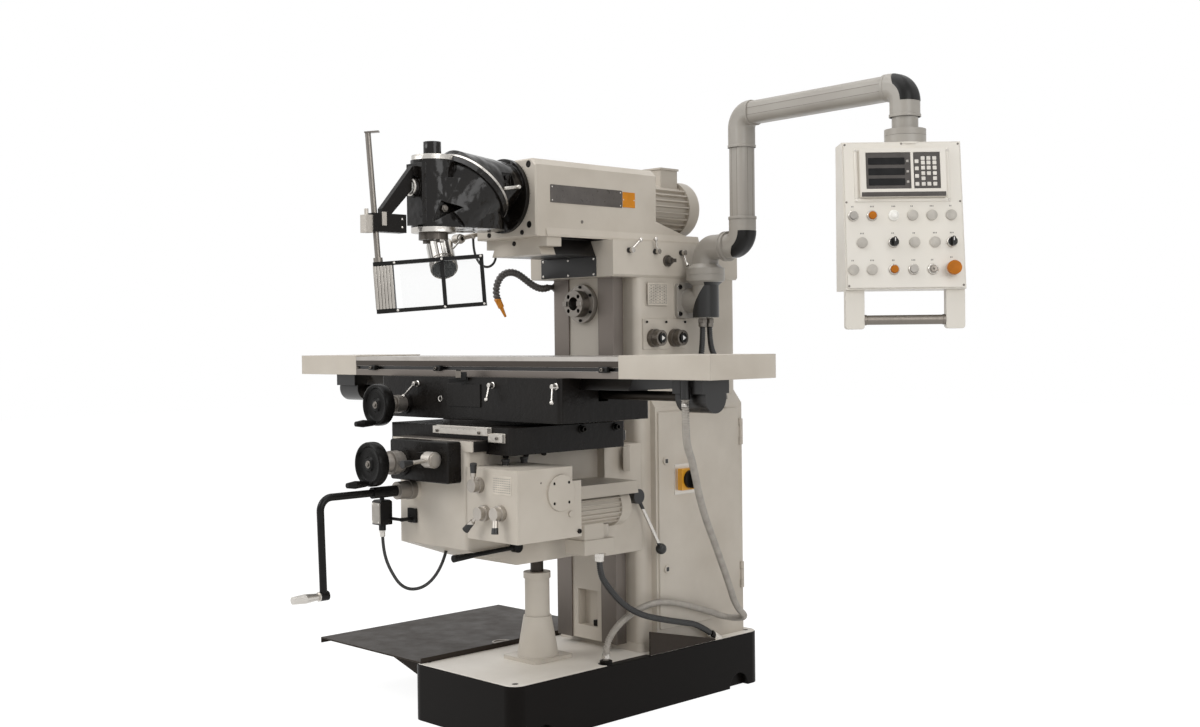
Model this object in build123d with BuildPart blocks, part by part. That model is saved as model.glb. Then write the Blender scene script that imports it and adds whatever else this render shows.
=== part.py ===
# Knee-type universal milling machine: ram with a two-swivel head, horizontal spindle, swivelling table
# and a pendant control box on a swing arm. Millimetres, +Z up, +X to the operator's right, +Y to the back.
# Origin: on the floor, under the middle of the column's knee ways.
import math
import os

from build123d import *

# Fits and sheet thicknesses
running_fit = 0.06
slide_gap = 0.3
sheet = 3.0

# Base and tray
base_half_width = 250.0
base_front = -540.0
base_rear = 605.0
base_height = 180.0
base_corner = 45.0
base_shell = 28.0
anchor_x = 212.0
anchor_inset = 38.0
anchor_radius = 11.0
foot_arch_radius = 48.0
foot_arch_inset = 118.0
strainer_x = -240.0
strainer_y = -168.0
strainer_radius = 36.0
drain_x = 224.0
drain_y = -132.0
tray_reach = 526.0
tray_front = -535.0
tray_rear = 272.0
tray_lap = 45.0
tray_plate = 5.0
splash_front = 46.0
splash_rear = 366.0
splash_rise = 77.0
splash_thickness = 6.0

# Column
column_half_width = 190.0
column_front = 64.0
column_rear = 560.0
column_wall = 27.0
column_shoulder = 1409.0
column_top = 1526.0
column_brow = 54.0
column_corner = 26.0
head_block_half_width = 198.0
way_half_width = 142.0
way_thickness = 45.0
way_neck_half_width = 118.0
way_strip_half_width = 71.0
way_strip_depth = 6.0
way_foot = 205.0
way_cover_right = 121.0
way_cover_height = 66.0
spindle_height = 1325.0
bearing_ring_radius = 64.0
bearing_ring_depth = 12.0

# Electrical compartment on the right of the column
cabinet_right = 213.0
cabinet_front = 118.0
cabinet_rear = 558.0
cabinet_top = 980.0
cabinet_bevel = 55.0
door_front = 128.0
door_rear = 536.0
door_bottom = 245.0
door_top = 965.0
door_thickness = 6.0
door_lap = 14.0
compartment_depth = 150.0
door_hinge_radius = 7.0
door_pin_radius = 4.0
isolator_y = 253.0
isolator_z = 737.0

# Spindles with a 40-taper nose
nose_radius = 44.45
nose_length = 21.0
long_nose_length = 33.0
nose_bolt_circle = 66.7
nose_bolt_radius = 6.9
taper_mouth_radius = 22.2
taper_depth = 93.0
taper_ratio = 7.0 / 24.0
spindle_radius = 36.0

# Ram
ram_front = -335.0
ram_half_width = 145.0
ram_bottom = 1529.0
ram_top = 1771.0
ram_bevel = 20.0
ram_rear = 205.0
ram_tail = 415.0
ram_tail_rise = 70.0
ram_tail_end = 10.0
ram_wall = 26.0
ram_lip = 7.0
ram_lip_height = 14.0
ram_axis_z = 1661.0
dovetail_floor = 1475.0
dovetail_neck = 96.0
dovetail_flare = 22.0
ram_motor_radius = 84.0
fan_cover_radius = 98.0
ram_motor_length = 222.0
fan_cover_length = 58.0

# Two-swivel head
swivel_flange_radius = 117.0
swivel_flange_depth = 14.0
swivel_neck_radius = 106.0
incline_y = -478.0
incline_z = 1674.0
incline_radius = 134.0
incline_rim = 18.0
head_y = -622.0
head_radius = 66.0
head_bottom = 1548.0
head_top = 1750.0
head_ring = 15.0
head_cap_radius = 27.0
head_cap_height = 42.0

# Chip guard in front of the head, leaning a little as it was left
guard_y = -835.0
guard_z = 1555.0
guard_lean = 3.8
guard_post_radius = 8.5
guard_post_up = 262.0
guard_top = -117.0
guard_height = 150.0
guard_reach = 306.0
guard_bar = 11.0
guard_profile = 56.0

# Lamp on the ram's left side
lamp_pivot_y = -285.0
lamp_knuckle_y = -388.0
lamp_x = -173.0
lamp_radius = 43.0
lamp_length = 108.0

# Knee
knee_front = -641.0
knee_half_width = 168.0
knee_front_bottom = 590.0
knee_bottom = 525.0
knee_slope_rear = -452.0
knee_shoulder = 880.0
knee_top = 912.0
knee_way_half_width = 194.0
knee_wrap_half_width = 200.0
knee_wrap_front = -105.0
knee_wrap_rear = 62.0
knee_wrap_bottom = 516.0
knee_wrap_top = 867.0
knee_well_radius = 62.0
knee_well_top = 715.0
screw_y = -220.0
screw_radius = 21.0
screw_low = 300.0
screw_high = 760.0
pedestal_top = 460.0
gear_cover_half_width = 142.0
gear_cover_depth = 49.0
gear_cover_bottom = 787.0
gear_cover_top = 910.0
handwheel_x = -80.0
cross_wheel_z = 842.0
cross_wheel_y = -803.0
wheel_radius = 67.0
crank_z = 756.0
crank_y = -985.0
crank_throw = 284.0

# Feed gearbox on the knee's right side
gearbox_right = 392.0
gearbox_bottom = 627.0
gearbox_top = 837.0
gearbox_step = 793.0
gearbox_rear = -391.0
gearbox_upper_rear = -426.0
shield_roof = 767.0
shield_flap = 38.0
feed_motor_x = 285.0
feed_motor_z = 690.0
feed_motor_radius = 55.0
feed_motor_end = -130.0

# Saddles and table
swivel_y = -335.0
saddle_half_width = 291.0
saddle_front = -578.0
saddle_rear = -102.0
saddle_skirt = 870.0
saddle_top = 950.0
swivel_ring_radius = 205.0
swivel_ring_height = 14.0
saddle_keeper = 171.0
carrier_half_width = 432.0
carrier_front = -510.0
carrier_rear = -136.0
carrier_height = 131.0
table_half_length = 632.0
table_end_reach = 253.0
table_front = -472.0
table_rear = -199.0
table_bottom = 1095.0
table_top = 1157.0
tee_slot_width = 14.0
tee_slot_depth = 26.0
tee_slot_pitch = 63.0
table_dovetail_neck = 80.0
table_dovetail_flare = 18.0
table_dovetail_depth = 34.0
end_cover_reach = 338.0
end_cover_top = 1161.0
table_screw_radius = 14.0
table_screw_z = 1044.0
table_bracket_x = 760.0
table_bracket_length = 110.0
table_tongue = 30.0
table_drain_x = 816.0
table_drain_y = -400.0
table_drain_low = 1040.0
table_wheel_x = -305.0
table_wheel_z = 1006.0
table_wheel_y = -615.0

# Swing arm and pendant
arm_x = 275.0
arm_y = 305.0
arm_yaw = -3.9
arm_flange_z = 1334.0
arm_tube_radius = 44.0
arm_outlet = 1275.0
arm_ring_radius = 64.0
arm_ring_low = 1397.0
arm_ring_split = 1418.0
arm_ring_top = 1440.0
arm_offset = 162.0
arm_link_z = 1508.0
arm_beam_z = 1932.0
arm_reach = 653.0
arm_section = 72.0
arm_section_corner = 24.0
pendant_flange_radius = 60.0
pendant_flange = 19.0
pendant_yaw = 45.6
pendant_tilt = 8.0
pendant_offset = -24.0
pendant_width = 340.0
pendant_height = 424.0
pendant_depth = 104.0
pendant_top = 1762.0
panel_thickness = 4.0
handle_drop = 112.0
handle_bracket = 54.0
handle_radius = 13.0
button_radius = 11.0
bezel_radius = 14.5
bezel_height = 5.0

# Flexible lines
drain_hose_radius = 11.0
drain_hose_ribs = 160
lamp_cable_radius = 4.0
rib_depth = 1.6
conduit_radius = 10.0
conduit_ribs = 90
cable_radius = 5.0
coolant_segments = 26

# Places that several pieces share
carrier_bottom = saddle_top + swivel_ring_height
carrier_top = carrier_bottom + carrier_height
dovetail_base = dovetail_neck + dovetail_flare
table_dovetail_base = table_dovetail_neck + table_dovetail_flare
incline = Plane(origin=(0, incline_y, incline_z), x_dir=(1, 0, 0), z_dir=(0, -1, -1))
yaw_right = Vector(math.cos(math.radians(pendant_yaw)), math.sin(math.radians(pendant_yaw)), 0)
yaw_front = Vector(math.sin(math.radians(pendant_yaw)), -math.cos(math.radians(pendant_yaw)), 0)
arm_dir = Vector(math.cos(math.radians(arm_yaw)), math.sin(math.radians(arm_yaw)), 0)
arm_axis = Vector(arm_x, arm_y, 0)
arm_post = arm_axis + Vector(arm_offset, 0, 0)
pendant_axis = arm_post + arm_dir * arm_reach
panel_axis = pendant_axis + yaw_right * pendant_offset
upright = Vector(0, 0, 1)
lean_angle = math.radians(guard_lean)
guard_up = upright * math.cos(lean_angle) - yaw_right * math.sin(lean_angle)
guard_right = yaw_right * math.cos(lean_angle) + upright * math.sin(lean_angle)
guard = Plane(origin=(0, guard_y, guard_z), x_dir=guard_right, z_dir=guard_right.cross(guard_up))
panel_angle = math.radians(pendant_tilt)
panel_up = upright * math.cos(panel_angle) - yaw_front * math.sin(panel_angle)
panel_origin = panel_axis + yaw_front * (pendant_depth / 2) + Vector(0, 0, pendant_top)
panel = Plane(origin=panel_origin, x_dir=yaw_right, z_dir=yaw_right.cross(panel_up))

tilt = incline.z_dir

low = (Align.CENTER, Align.CENTER, Align.MIN)


def slab(x, y, z, mode=Mode.ADD):
    # A box between two bounds on each axis.
    with Locations(((x[0] + x[1]) / 2, (y[0] + y[1]) / 2, (z[0] + z[1]) / 2)):
        Box(x[1] - x[0], y[1] - y[0], z[1] - z[0], mode=mode)


def rod(start, end, radius, mode=Mode.ADD):
    # A round bar between two points.
    start = Vector(start)
    run = Vector(end) - start
    with Locations(Plane(origin=start, z_dir=run)):
        Cylinder(radius, run.length, align=low, mode=mode)


def taper(start, end, radius, end_radius, mode=Mode.ADD):
    # A round bar that narrows from one point to the other.
    start = Vector(start)
    run = Vector(end) - start
    with Locations(Plane(origin=start, z_dir=run)):
        Cone(radius, end_radius, run.length, align=low, mode=mode)


def ball(centre, radius):
    with Locations(centre):
        Sphere(radius)


def along(plane, x, y, z=0.0):
    # A point given in a plane's own directions.
    return plane.origin + plane.x_dir * x + plane.y_dir * y + plane.z_dir * z


def save(piece, name):
    piece.part.label = name
    export_step(piece.part, f"parts/{name}.step")


def route_radii(points):
    # The largest arc that each corner's two runs leave room for.
    points = [Vector(point) for point in points]
    radii = []
    for before, corner, after in zip(points, points[1:], points[2:]):
        turn = math.radians((corner - before).get_angle(after - corner))
        shorter = min((corner - before).length, (after - corner).length)
        radii.append(0.45 * shorter / math.tan(turn / 2))
    return radii


def route(name, points):
    # The middle line of a flexible line: straight runs joined by tangent arcs.
    radii = route_radii(points)
    with BuildLine() as path:
        FilletPolyline(*points, radius=radii)
    print(name, "length", round(path.wires()[0].length), "least radius", round(min(radii)))
    return path.wires()[0]


def tube(name, points, radius):
    # A plain cable along a route.
    path = route(name, points)
    with BuildPart() as line:
        with BuildSketch(Plane(origin=path @ 0, z_dir=path % 0)):
            Circle(radius)
        sweep(path=path)
    print(name, "volume over section times length", line.part.volume / (math.pi * radius**2 * path.length))
    return line


def ribbed(name, points, radius, depth, ribs, bore, steady):
    # A corrugated hose along a route, with plain straight ends and an open bore.
    path = route(name, points)
    plain = 2 * radius / path.length
    pitch = (1 - 2 * plain) / ribs
    stations = [(0.0, radius - depth)]
    for rib in range(ribs):
        start = plain + rib * pitch
        stations += [
            (start + 0.10 * pitch, radius - depth),
            (start + 0.30 * pitch, radius),
            (start + 0.70 * pitch, radius),
            (start + 0.90 * pitch, radius - depth),
        ]
    stations.append((1.0, radius - depth))
    with BuildPart() as line:
        for place, size in stations:
            with BuildSketch(Plane(origin=path @ place, x_dir=steady, z_dir=path % place)):
                Circle(size)
        loft(ruled=True)
        with BuildSketch(Plane(origin=path @ 0, z_dir=path % 0)):
            Circle(bore)
        sweep(path=path, mode=Mode.SUBTRACT)
    return line


def spindle(face, inward, reach, nose_length):
    # A 40-taper spindle: flanged nose with keys and tapped holes, taper socket and a plain shaft.
    face = Vector(face)
    inward = Vector(inward)
    nose = Plane(origin=face, x_dir=(1, 0, 0), z_dir=inward * -1)
    with BuildPart() as piece:
        rod(face, face + inward * nose_length, nose_radius)
        rod(face + inward * nose_length, face + inward * reach, spindle_radius)
        taper_end = taper_mouth_radius - taper_depth * taper_ratio / 2
        taper(face, face + inward * taper_depth, taper_mouth_radius, taper_end, Mode.SUBTRACT)
        with Locations(nose):
            with PolarLocations(nose_bolt_circle / 2, 4, start_angle=45):
                Hole(nose_bolt_radius, nose_length)
        for side in (-1, 1):
            key = along(nose, side * (taper_mouth_radius + 11), 0, 4)
            with Locations(Plane(origin=key, x_dir=nose.x_dir, z_dir=nose.z_dir)):
                Box(17, 16, 10)
    return piece


def handwheel(x, z, face, wheel_y, dial_radius, shaft_depth):
    # A handwheel: flat web with three lightening holes, graduated dial, turning handle at the bottom.
    shaft_radius = 12.0
    rim_radius = 10.0
    rim_sides = 12
    with BuildPart() as wheel:
        rod((x, face + shaft_depth, z), (x, face - 1, z), shaft_radius)
        rod((x, face - 1, z), (x, face - 16, z), dial_radius - 4)
        rod((x, face - 16, z), (x, face - 42, z), dial_radius)
        taper((x, face - 42, z), (x, wheel_y - 12, z), dial_radius - 8, 19)
        with BuildSketch(Plane(origin=(x, wheel_y, z))):
            with Locations((wheel_radius - rim_radius, 0)):
                RegularPolygon(rim_radius, rim_sides)
        revolve(axis=Axis((x, wheel_y, z), (0, 1, 0)))
        rod((x, wheel_y + 5, z), (x, wheel_y - 6, z), wheel_radius - rim_radius)
        with Locations(Plane(origin=(x, wheel_y + 20, z), x_dir=(1, 0, 0), z_dir=(0, 1, 0))):
            with PolarLocations(38, 3, start_angle=30):
                Cylinder(11, 80, mode=Mode.SUBTRACT)
        handle_z = z - wheel_radius + rim_radius
        rod((x, wheel_y, handle_z), (x, wheel_y - 22, handle_z), 6)
        taper((x, wheel_y - 22, handle_z), (x, wheel_y - 60, handle_z), 9, 12)
        taper((x, wheel_y - 60, handle_z), (x, wheel_y - 88, handle_z), 12, 8)
    return wheel


def ball_lever(hub, hub_end, hub_radius, tip, rod_radius, ball_radius, shaft):
    # A clamp lever: shaft into its seat, hub, tapered arm and ball.
    hub = Vector(hub)
    hub_end = Vector(hub_end)
    outward = (hub_end - hub).normalized()
    middle = (hub + hub_end) * 0.5
    with BuildPart() as lever:
        rod(hub - outward * shaft, hub, hub_radius * 0.6)
        rod(hub, hub_end, hub_radius)
        rod(middle, tip, rod_radius)
        ball(tip, ball_radius)
    return lever


os.makedirs("parts", exist_ok=True)

# Where the flexible lines end on the base
drain_ring_top = base_height + 10
conduit_foot = Vector(238, 352, base_height + 26)
conduit_aim = Vector(-8, 70, -40).normalized()

# Base: cast box with the sump inside, arched feet, anchor holes and the coolant return
with BuildPart() as base_casting:
    base_middle = (base_front + base_rear) / 2
    with BuildSketch():
        with Locations((0, base_middle)):
            RectangleRounded(2 * base_half_width, base_rear - base_front, base_corner)
    extrude(amount=base_height)
    chamfer(base_casting.faces().sort_by(Axis.Z)[-1].edges(), 4)
    inner = base_half_width - base_shell
    slab(
        (-inner, inner), (base_front + 90, screw_y - 70), (base_shell, base_height - base_shell),
        Mode.SUBTRACT
    )
    slab(
        (-inner, inner), (screw_y + 70, base_rear - 90), (base_shell, base_height - base_shell),
        Mode.SUBTRACT
    )
    for y in (base_front + foot_arch_inset, base_rear - foot_arch_inset):
        for side in (-1, 1):
            with Locations(Plane(origin=(side * base_half_width, y, 0), z_dir=(-side, 0, 0))):
                Cylinder(foot_arch_radius, base_shell * 0.8, align=low, mode=Mode.SUBTRACT)
    for y in (base_front + anchor_inset, base_rear - anchor_inset):
        for x in (-anchor_x, anchor_x):
            with Locations((x, y, base_height)):
                Hole(anchor_radius, base_height)
    with Locations((0, screw_y, base_height)):
        Hole(screw_radius + 4, base_height - 25)
    rod((drain_x, drain_y, base_height), (drain_x, drain_y, drain_ring_top), drain_hose_radius + 9)
    rod(
        (drain_x, drain_y, base_height - 30), (drain_x, drain_y, drain_ring_top), drain_hose_radius - 3,
        Mode.SUBTRACT
    )
    rod(conduit_foot, conduit_foot + conduit_aim * 62, conduit_radius + 3)
save(base_casting, "base_casting")

# Drip tray: wing plate on the left with two gussets, and the splash plate on the right side
with BuildPart() as drip_tray:
    tray_left = -base_half_width - tray_reach
    slab(
        (tray_left, tray_lap - base_half_width), (tray_front, tray_rear),
        (base_height, base_height + tray_plate)
    )
    slab((tray_left, tray_left + 4), (tray_front, tray_rear), (base_height - 14, base_height))
    lip = tray_lap - base_half_width
    slab((lip - 4, lip), (tray_front, tray_rear), (base_height + tray_plate, base_height + 17))
    plate_top = base_height + tray_plate
    rod((strainer_x, strainer_y, plate_top), (strainer_x, strainer_y, plate_top + 4), strainer_radius - 2)
    rod(
        (strainer_x, strainer_y, plate_top + 1), (strainer_x, strainer_y, plate_top + 5),
        strainer_radius - 9, Mode.SUBTRACT
    )
    for y in (tray_front + 130, tray_rear - 150):
        with BuildSketch(Plane(origin=(0, y, 0), x_dir=(1, 0, 0), z_dir=(0, -1, 0))):
            with BuildLine():
                Polyline(
                    (-base_half_width, base_height),
                    (tray_left + 90, base_height),
                    (-base_half_width - 25, base_height - 120),
                    (-base_half_width, base_height - 120),
                    close=True,
                )
            make_face()
        extrude(amount=sheet + 2, both=True)
    with BuildSketch(Plane(origin=(base_half_width, 0, 0), x_dir=(0, 1, 0), z_dir=(1, 0, 0))):
        with BuildLine():
            Polyline(
                (splash_front, base_height),
                (splash_front, base_height + splash_rise),
                (splash_rear, base_height + tray_plate),
                (splash_rear, base_height),
                close=True,
            )
        make_face()
    extrude(amount=-splash_thickness)
save(drip_tray, "drip_tray")

# Column: hollow body, knee ways, head block with the ram dovetail, electrical compartment
with BuildPart() as column_casting:
    body = column_half_width
    with BuildSketch(Plane.XY.offset(base_height)):
        with Locations((0, (column_front + column_rear) / 2)):
            RectangleRounded(2 * body, column_rear - column_front, column_corner)
    extrude(amount=column_shoulder - base_height)
    # Foot flange with a sloped skirt down to the base
    with BuildSketch(Plane.XY.offset(base_height)):
        with Locations((0, (column_front + column_rear) / 2)):
            RectangleRounded(2 * body + 24, column_rear - column_front + 24, column_corner)
    extrude(amount=26, taper=20)
    # Neck and flat ways that carry the knee
    slab((-way_neck_half_width, way_neck_half_width), (0, column_front + 30), (way_foot, column_shoulder))
    slab((-way_half_width, way_half_width), (0, way_thickness), (way_foot, column_shoulder))
    strip = way_strip_half_width
    slab((-strip, strip), (-1, way_strip_depth), (way_foot, column_shoulder), Mode.SUBTRACT)
    slab((-46, 46), (way_strip_depth, 40), (way_foot + 45, way_foot + 165), Mode.SUBTRACT)
    # Head block that carries the ram, with a sloped underside
    block = head_block_half_width
    with BuildSketch(Plane(origin=(0, 0, 0), x_dir=(0, 1, 0), z_dir=(1, 0, 0))):
        with BuildLine():
            Polyline(
                (-column_brow, column_shoulder),
                (-column_brow, column_top),
                (column_rear, column_top),
                (column_rear, column_shoulder),
                close=True,
            )
        make_face()
    extrude(amount=block, both=True)
    brow_edges = column_casting.edges().filter_by(Axis.Y).filter_by(
        lambda e: abs(abs(e.center().X) - block) < 1
    )
    chamfer(brow_edges.group_by(Axis.Z)[0], 7)
    # Ram dovetail
    with BuildSketch(Plane.XZ):
        with BuildLine():
            Polyline(
                (-dovetail_neck - slide_gap, column_top),
                (dovetail_neck + slide_gap, column_top),
                (dovetail_base + slide_gap, dovetail_floor),
                (-dovetail_base - slide_gap, dovetail_floor),
                close=True,
            )
        make_face()
    extrude(amount=2 * column_rear, both=True, mode=Mode.SUBTRACT)
    # Way cover plate on the brow and the bearing ring around the horizontal spindle
    cover_top = column_shoulder + way_cover_height
    slab(
        (-way_half_width, way_cover_right), (-column_brow - sheet, -column_brow),
        (column_shoulder + 3, cover_top)
    )
    rod((0, way_strip_depth, spindle_height), (0, -bearing_ring_depth, spindle_height), bearing_ring_radius)
    # Closed gear chambers
    inner = body - column_wall
    back = column_rear - column_wall
    slab((-inner, 20), (column_front + 45, back), (way_foot, cabinet_top), Mode.SUBTRACT)
    slab(
        (-inner, inner), (column_front + 60, back), (cabinet_top + 75, column_shoulder - 25), Mode.SUBTRACT
    )
    rod(
        (0, -40, spindle_height), (0, column_front + 70, spindle_height), spindle_radius + running_fit,
        Mode.SUBTRACT
    )
    # Electrical compartment with a bevelled roof
    with BuildSketch(Plane(origin=(0, cabinet_front, 0), x_dir=(1, 0, 0), z_dir=(0, -1, 0))):
        with BuildLine():
            Polyline(
                (body - 20, base_height),
                (cabinet_right, base_height),
                (cabinet_right, cabinet_top),
                (body - 20, cabinet_top + cabinet_bevel),
                close=True,
            )
        make_face()
    extrude(amount=cabinet_front - cabinet_rear)
    doorway_y = (door_front + door_lap, door_rear - door_lap)
    doorway_z = (door_bottom + door_lap, door_top - door_lap)
    slab((cabinet_right - compartment_depth, cabinet_right + 1), doorway_y, doorway_z, Mode.SUBTRACT)
    # Door hinge lugs with their pins
    hinge_x = cabinet_right + 8
    hinge_y = door_rear + 8
    for z in (door_bottom + 90, door_top - 130):
        for step in (0, 65):
            slab((cabinet_right, hinge_x), (hinge_y - 7, hinge_y + 7), (z + step, z + step + 25))
            rod((hinge_x, hinge_y, z + step), (hinge_x, hinge_y, z + step + 25), door_hinge_radius)
        rod((hinge_x, hinge_y, z), (hinge_x, hinge_y, z + 90), door_pin_radius)
    # Speed selector plate, chart plate and the rear access cover
    slab((body, body + 4), (86, 292), (1172, 1272))
    slab((body, body + 1.5), (101, 201), (1315, 1393))
    slab((-130, 130), (column_rear, column_rear + 6), (700, 1150))
    knob_seats = [(132, 1209), (234, 1209)]
    for y, z in knob_seats:
        rod((body - 30, y, z), (body + 10, y, z), 8 + running_fit, Mode.SUBTRACT)
    # Seats of the ram clamp levers and of the ram feed shaft
    lever_seats = [18, 141, 268]
    feed_shaft_y = 199
    feed_shaft_z = 1465
    for y in lever_seats:
        rod((block - 40, y, 1494), (block + 1, y, 1494), 6 + running_fit, Mode.SUBTRACT)
    rod(
        (block - 70, feed_shaft_y, feed_shaft_z), (block + 1, feed_shaft_y, feed_shaft_z), 10 + running_fit,
        Mode.SUBTRACT
    )
    # Pad of the swing arm bracket and the glands of its two conduits
    slab((body, body + 2), (arm_y - 66, arm_y + 66), (arm_flange_z - 61, arm_flange_z + 61))
    for y, z in ((320, 1015), (462, 1008)):
        rod((cabinet_right - 1, y, cabinet_top - 10), (cabinet_right - 1, y, z), conduit_radius + 3)
save(column_casting, "column_casting")

# Compartment door with the isolator's plate and body, and two hinge knuckles
with BuildPart() as cabinet_door:
    door_x = (cabinet_right, cabinet_right + door_thickness)
    slab(door_x, (door_front, door_rear), (door_bottom, door_top))
    fillet(cabinet_door.edges().filter_by(Axis.X), 8)
    chamfer(cabinet_door.faces().sort_by(Axis.X)[-1].edges(), 2)
    for z in (door_bottom + 90, door_top - 130):
        slab(door_x, (door_rear - 4, hinge_y), (z + 26, z + 64))
        rod((hinge_x, hinge_y, z + 26), (hinge_x, hinge_y, z + 64), door_hinge_radius)
        rod((hinge_x, hinge_y, z), (hinge_x, hinge_y, z + 90), door_pin_radius + running_fit, Mode.SUBTRACT)
    face = cabinet_right + door_thickness
    slab((face, face + 3), (isolator_y - 52, isolator_y + 52), (isolator_z - 50, isolator_z + 50))
    slab((face, face + 22), (isolator_y - 38, isolator_y + 38), (isolator_z - 36, isolator_z + 36))
    rod(
        (face + 2, isolator_y, isolator_z), (face + 23, isolator_y, isolator_z), 7 + running_fit,
        Mode.SUBTRACT
    )
    for z in (802, 444):
        rod((face, door_front + 31, z), (face + 6, door_front + 31, z), 13)
save(cabinet_door, "cabinet_door")

with BuildPart() as main_switch_knob:
    start = cabinet_right + door_thickness + 4
    rod((start, isolator_y, isolator_z), (start + 19, isolator_y, isolator_z), 7)
    rod((start + 19, isolator_y, isolator_z), (start + 29, isolator_y, isolator_z), 30)
    slab((start + 29, start + 47), (isolator_y - 9, isolator_y + 9), (isolator_z - 29, isolator_z + 29))
    fillet(main_switch_knob.faces().sort_by(Axis.X)[-1].edges(), 4)
save(main_switch_knob, "main_switch_knob")

for side, (y, z) in zip(("left", "right"), knob_seats):
    with BuildPart() as speed_knob:
        seat = column_half_width + 4
        rod((seat - 26, y, z), (seat, y, z), 8)
        rod((seat + slide_gap, y, z), (seat + 17, y, z), 30)
        rod((seat + 17, y, z), (seat + 42, y, z), 26)
        with Locations(Plane(origin=(seat + 42, y, z), x_dir=(0, 1, 0), z_dir=(1, 0, 0))):
            Cylinder(19, 6, mode=Mode.SUBTRACT)
        rod((seat, y, z), (seat + slide_gap, y, z), 8)
        slab((seat + 39, seat + 45), (y - 4, y + 4), (z - 19, z + 19))
    save(speed_knob, f"speed_knob_{side}")

nose_face = -bearing_ring_depth - slide_gap - long_nose_length
horizontal_spindle = spindle((0, nose_face, spindle_height), (0, 1, 0), 150, long_nose_length)
save(horizontal_spindle, "horizontal_spindle")

# Pedestal with the elevating nut in its collar
with BuildPart() as elevating_pedestal:
    foot_top = base_height + 12
    with BuildSketch(Plane.XY.offset(base_height)):
        with Locations((0, screw_y)):
            RectangleRounded(160, 165, 10)
    extrude(amount=foot_top - base_height)
    taper((0, screw_y, foot_top), (0, screw_y, 319), 67, 45)
    rod((0, screw_y, 319), (0, screw_y, 442), 40)
    rod((0, screw_y, 440), (0, screw_y, pedestal_top), 44)
    rod((0, screw_y, base_height), (0, screw_y, 400), screw_radius + 3, Mode.SUBTRACT)
    rod((0, screw_y, 399), (0, screw_y, pedestal_top), screw_radius + running_fit, Mode.SUBTRACT)
save(elevating_pedestal, "elevating_pedestal")

# Fixed bracket of the swing arm: flange on the column, elbow body, lower half of the turning ring
with BuildPart() as arm_base:
    with BuildSketch(
        Plane(origin=(column_half_width + 2, arm_y, arm_flange_z), x_dir=(0, 1, 0), z_dir=(1, 0, 0))
    ):
        RectangleRounded(128, 118, 16)
    extrude(amount=13)
    rod((column_half_width + 10, arm_y, arm_flange_z), (arm_x, arm_y, arm_flange_z), arm_tube_radius)
    rod((arm_x, arm_y, arm_outlet), (arm_x, arm_y, arm_ring_low), arm_tube_radius)
    ring_foot = arm_ring_low - 14
    taper((arm_x, arm_y, ring_foot), (arm_x, arm_y, arm_ring_low), arm_tube_radius, arm_ring_radius - 3)
    rod((arm_x, arm_y, arm_ring_low), (arm_x, arm_y, arm_ring_split), arm_ring_radius)
    rod(
        (arm_x, arm_y, arm_ring_split - 30), (arm_x, arm_y, arm_ring_split + 1), 30 + running_fit,
        Mode.SUBTRACT
    )
    for y in (arm_y - 17, arm_y + 17):
        rod((arm_x, y, arm_outlet - 12), (arm_x, y, arm_outlet), conduit_radius + 3)
save(arm_base, "arm_base")

# Segmented coolant hose that keeps its shape, on a valve in the column's front
coolant_x = -165.0
coolant_points = [
    (-4, 1386), (-66, 1388), (-112, 1412), (-160, 1432), (-212, 1420), (-236, 1380), (-228, 1336)
]
with BuildPart() as coolant_hose:
    with BuildLine() as coolant_path:
        Spline([(coolant_x, y, z) for y, z in coolant_points])
    coolant_wire = coolant_path.wires()[0]
    for joint in range(coolant_segments):
        for part, size in ((0.0, 8.5), (0.35, 12.5), (0.75, 11.0), (0.95, 8.5)):
            place = (joint + part) / coolant_segments
            with BuildSketch(
                Plane(origin=coolant_wire @ place, x_dir=(1, 0, 0), z_dir=coolant_wire % place)
            ):
                Circle(size)
    loft(ruled=True)
    start = Vector(coolant_x, *coolant_points[0])
    rod((coolant_x, column_front, start.Z), start + Vector(0, -2, 0), 9)
    rod((coolant_x, column_front, start.Z), (coolant_x, column_front - 40, start.Z), 15)
    tip = coolant_wire @ 0.99
    down = coolant_wire % 0.99
    taper(tip - down * 8, tip + down * 26, 11, 10)
    taper(tip + down * 26, tip + down * 62, 7, 4)
save(coolant_hose, "coolant_hose")

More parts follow.
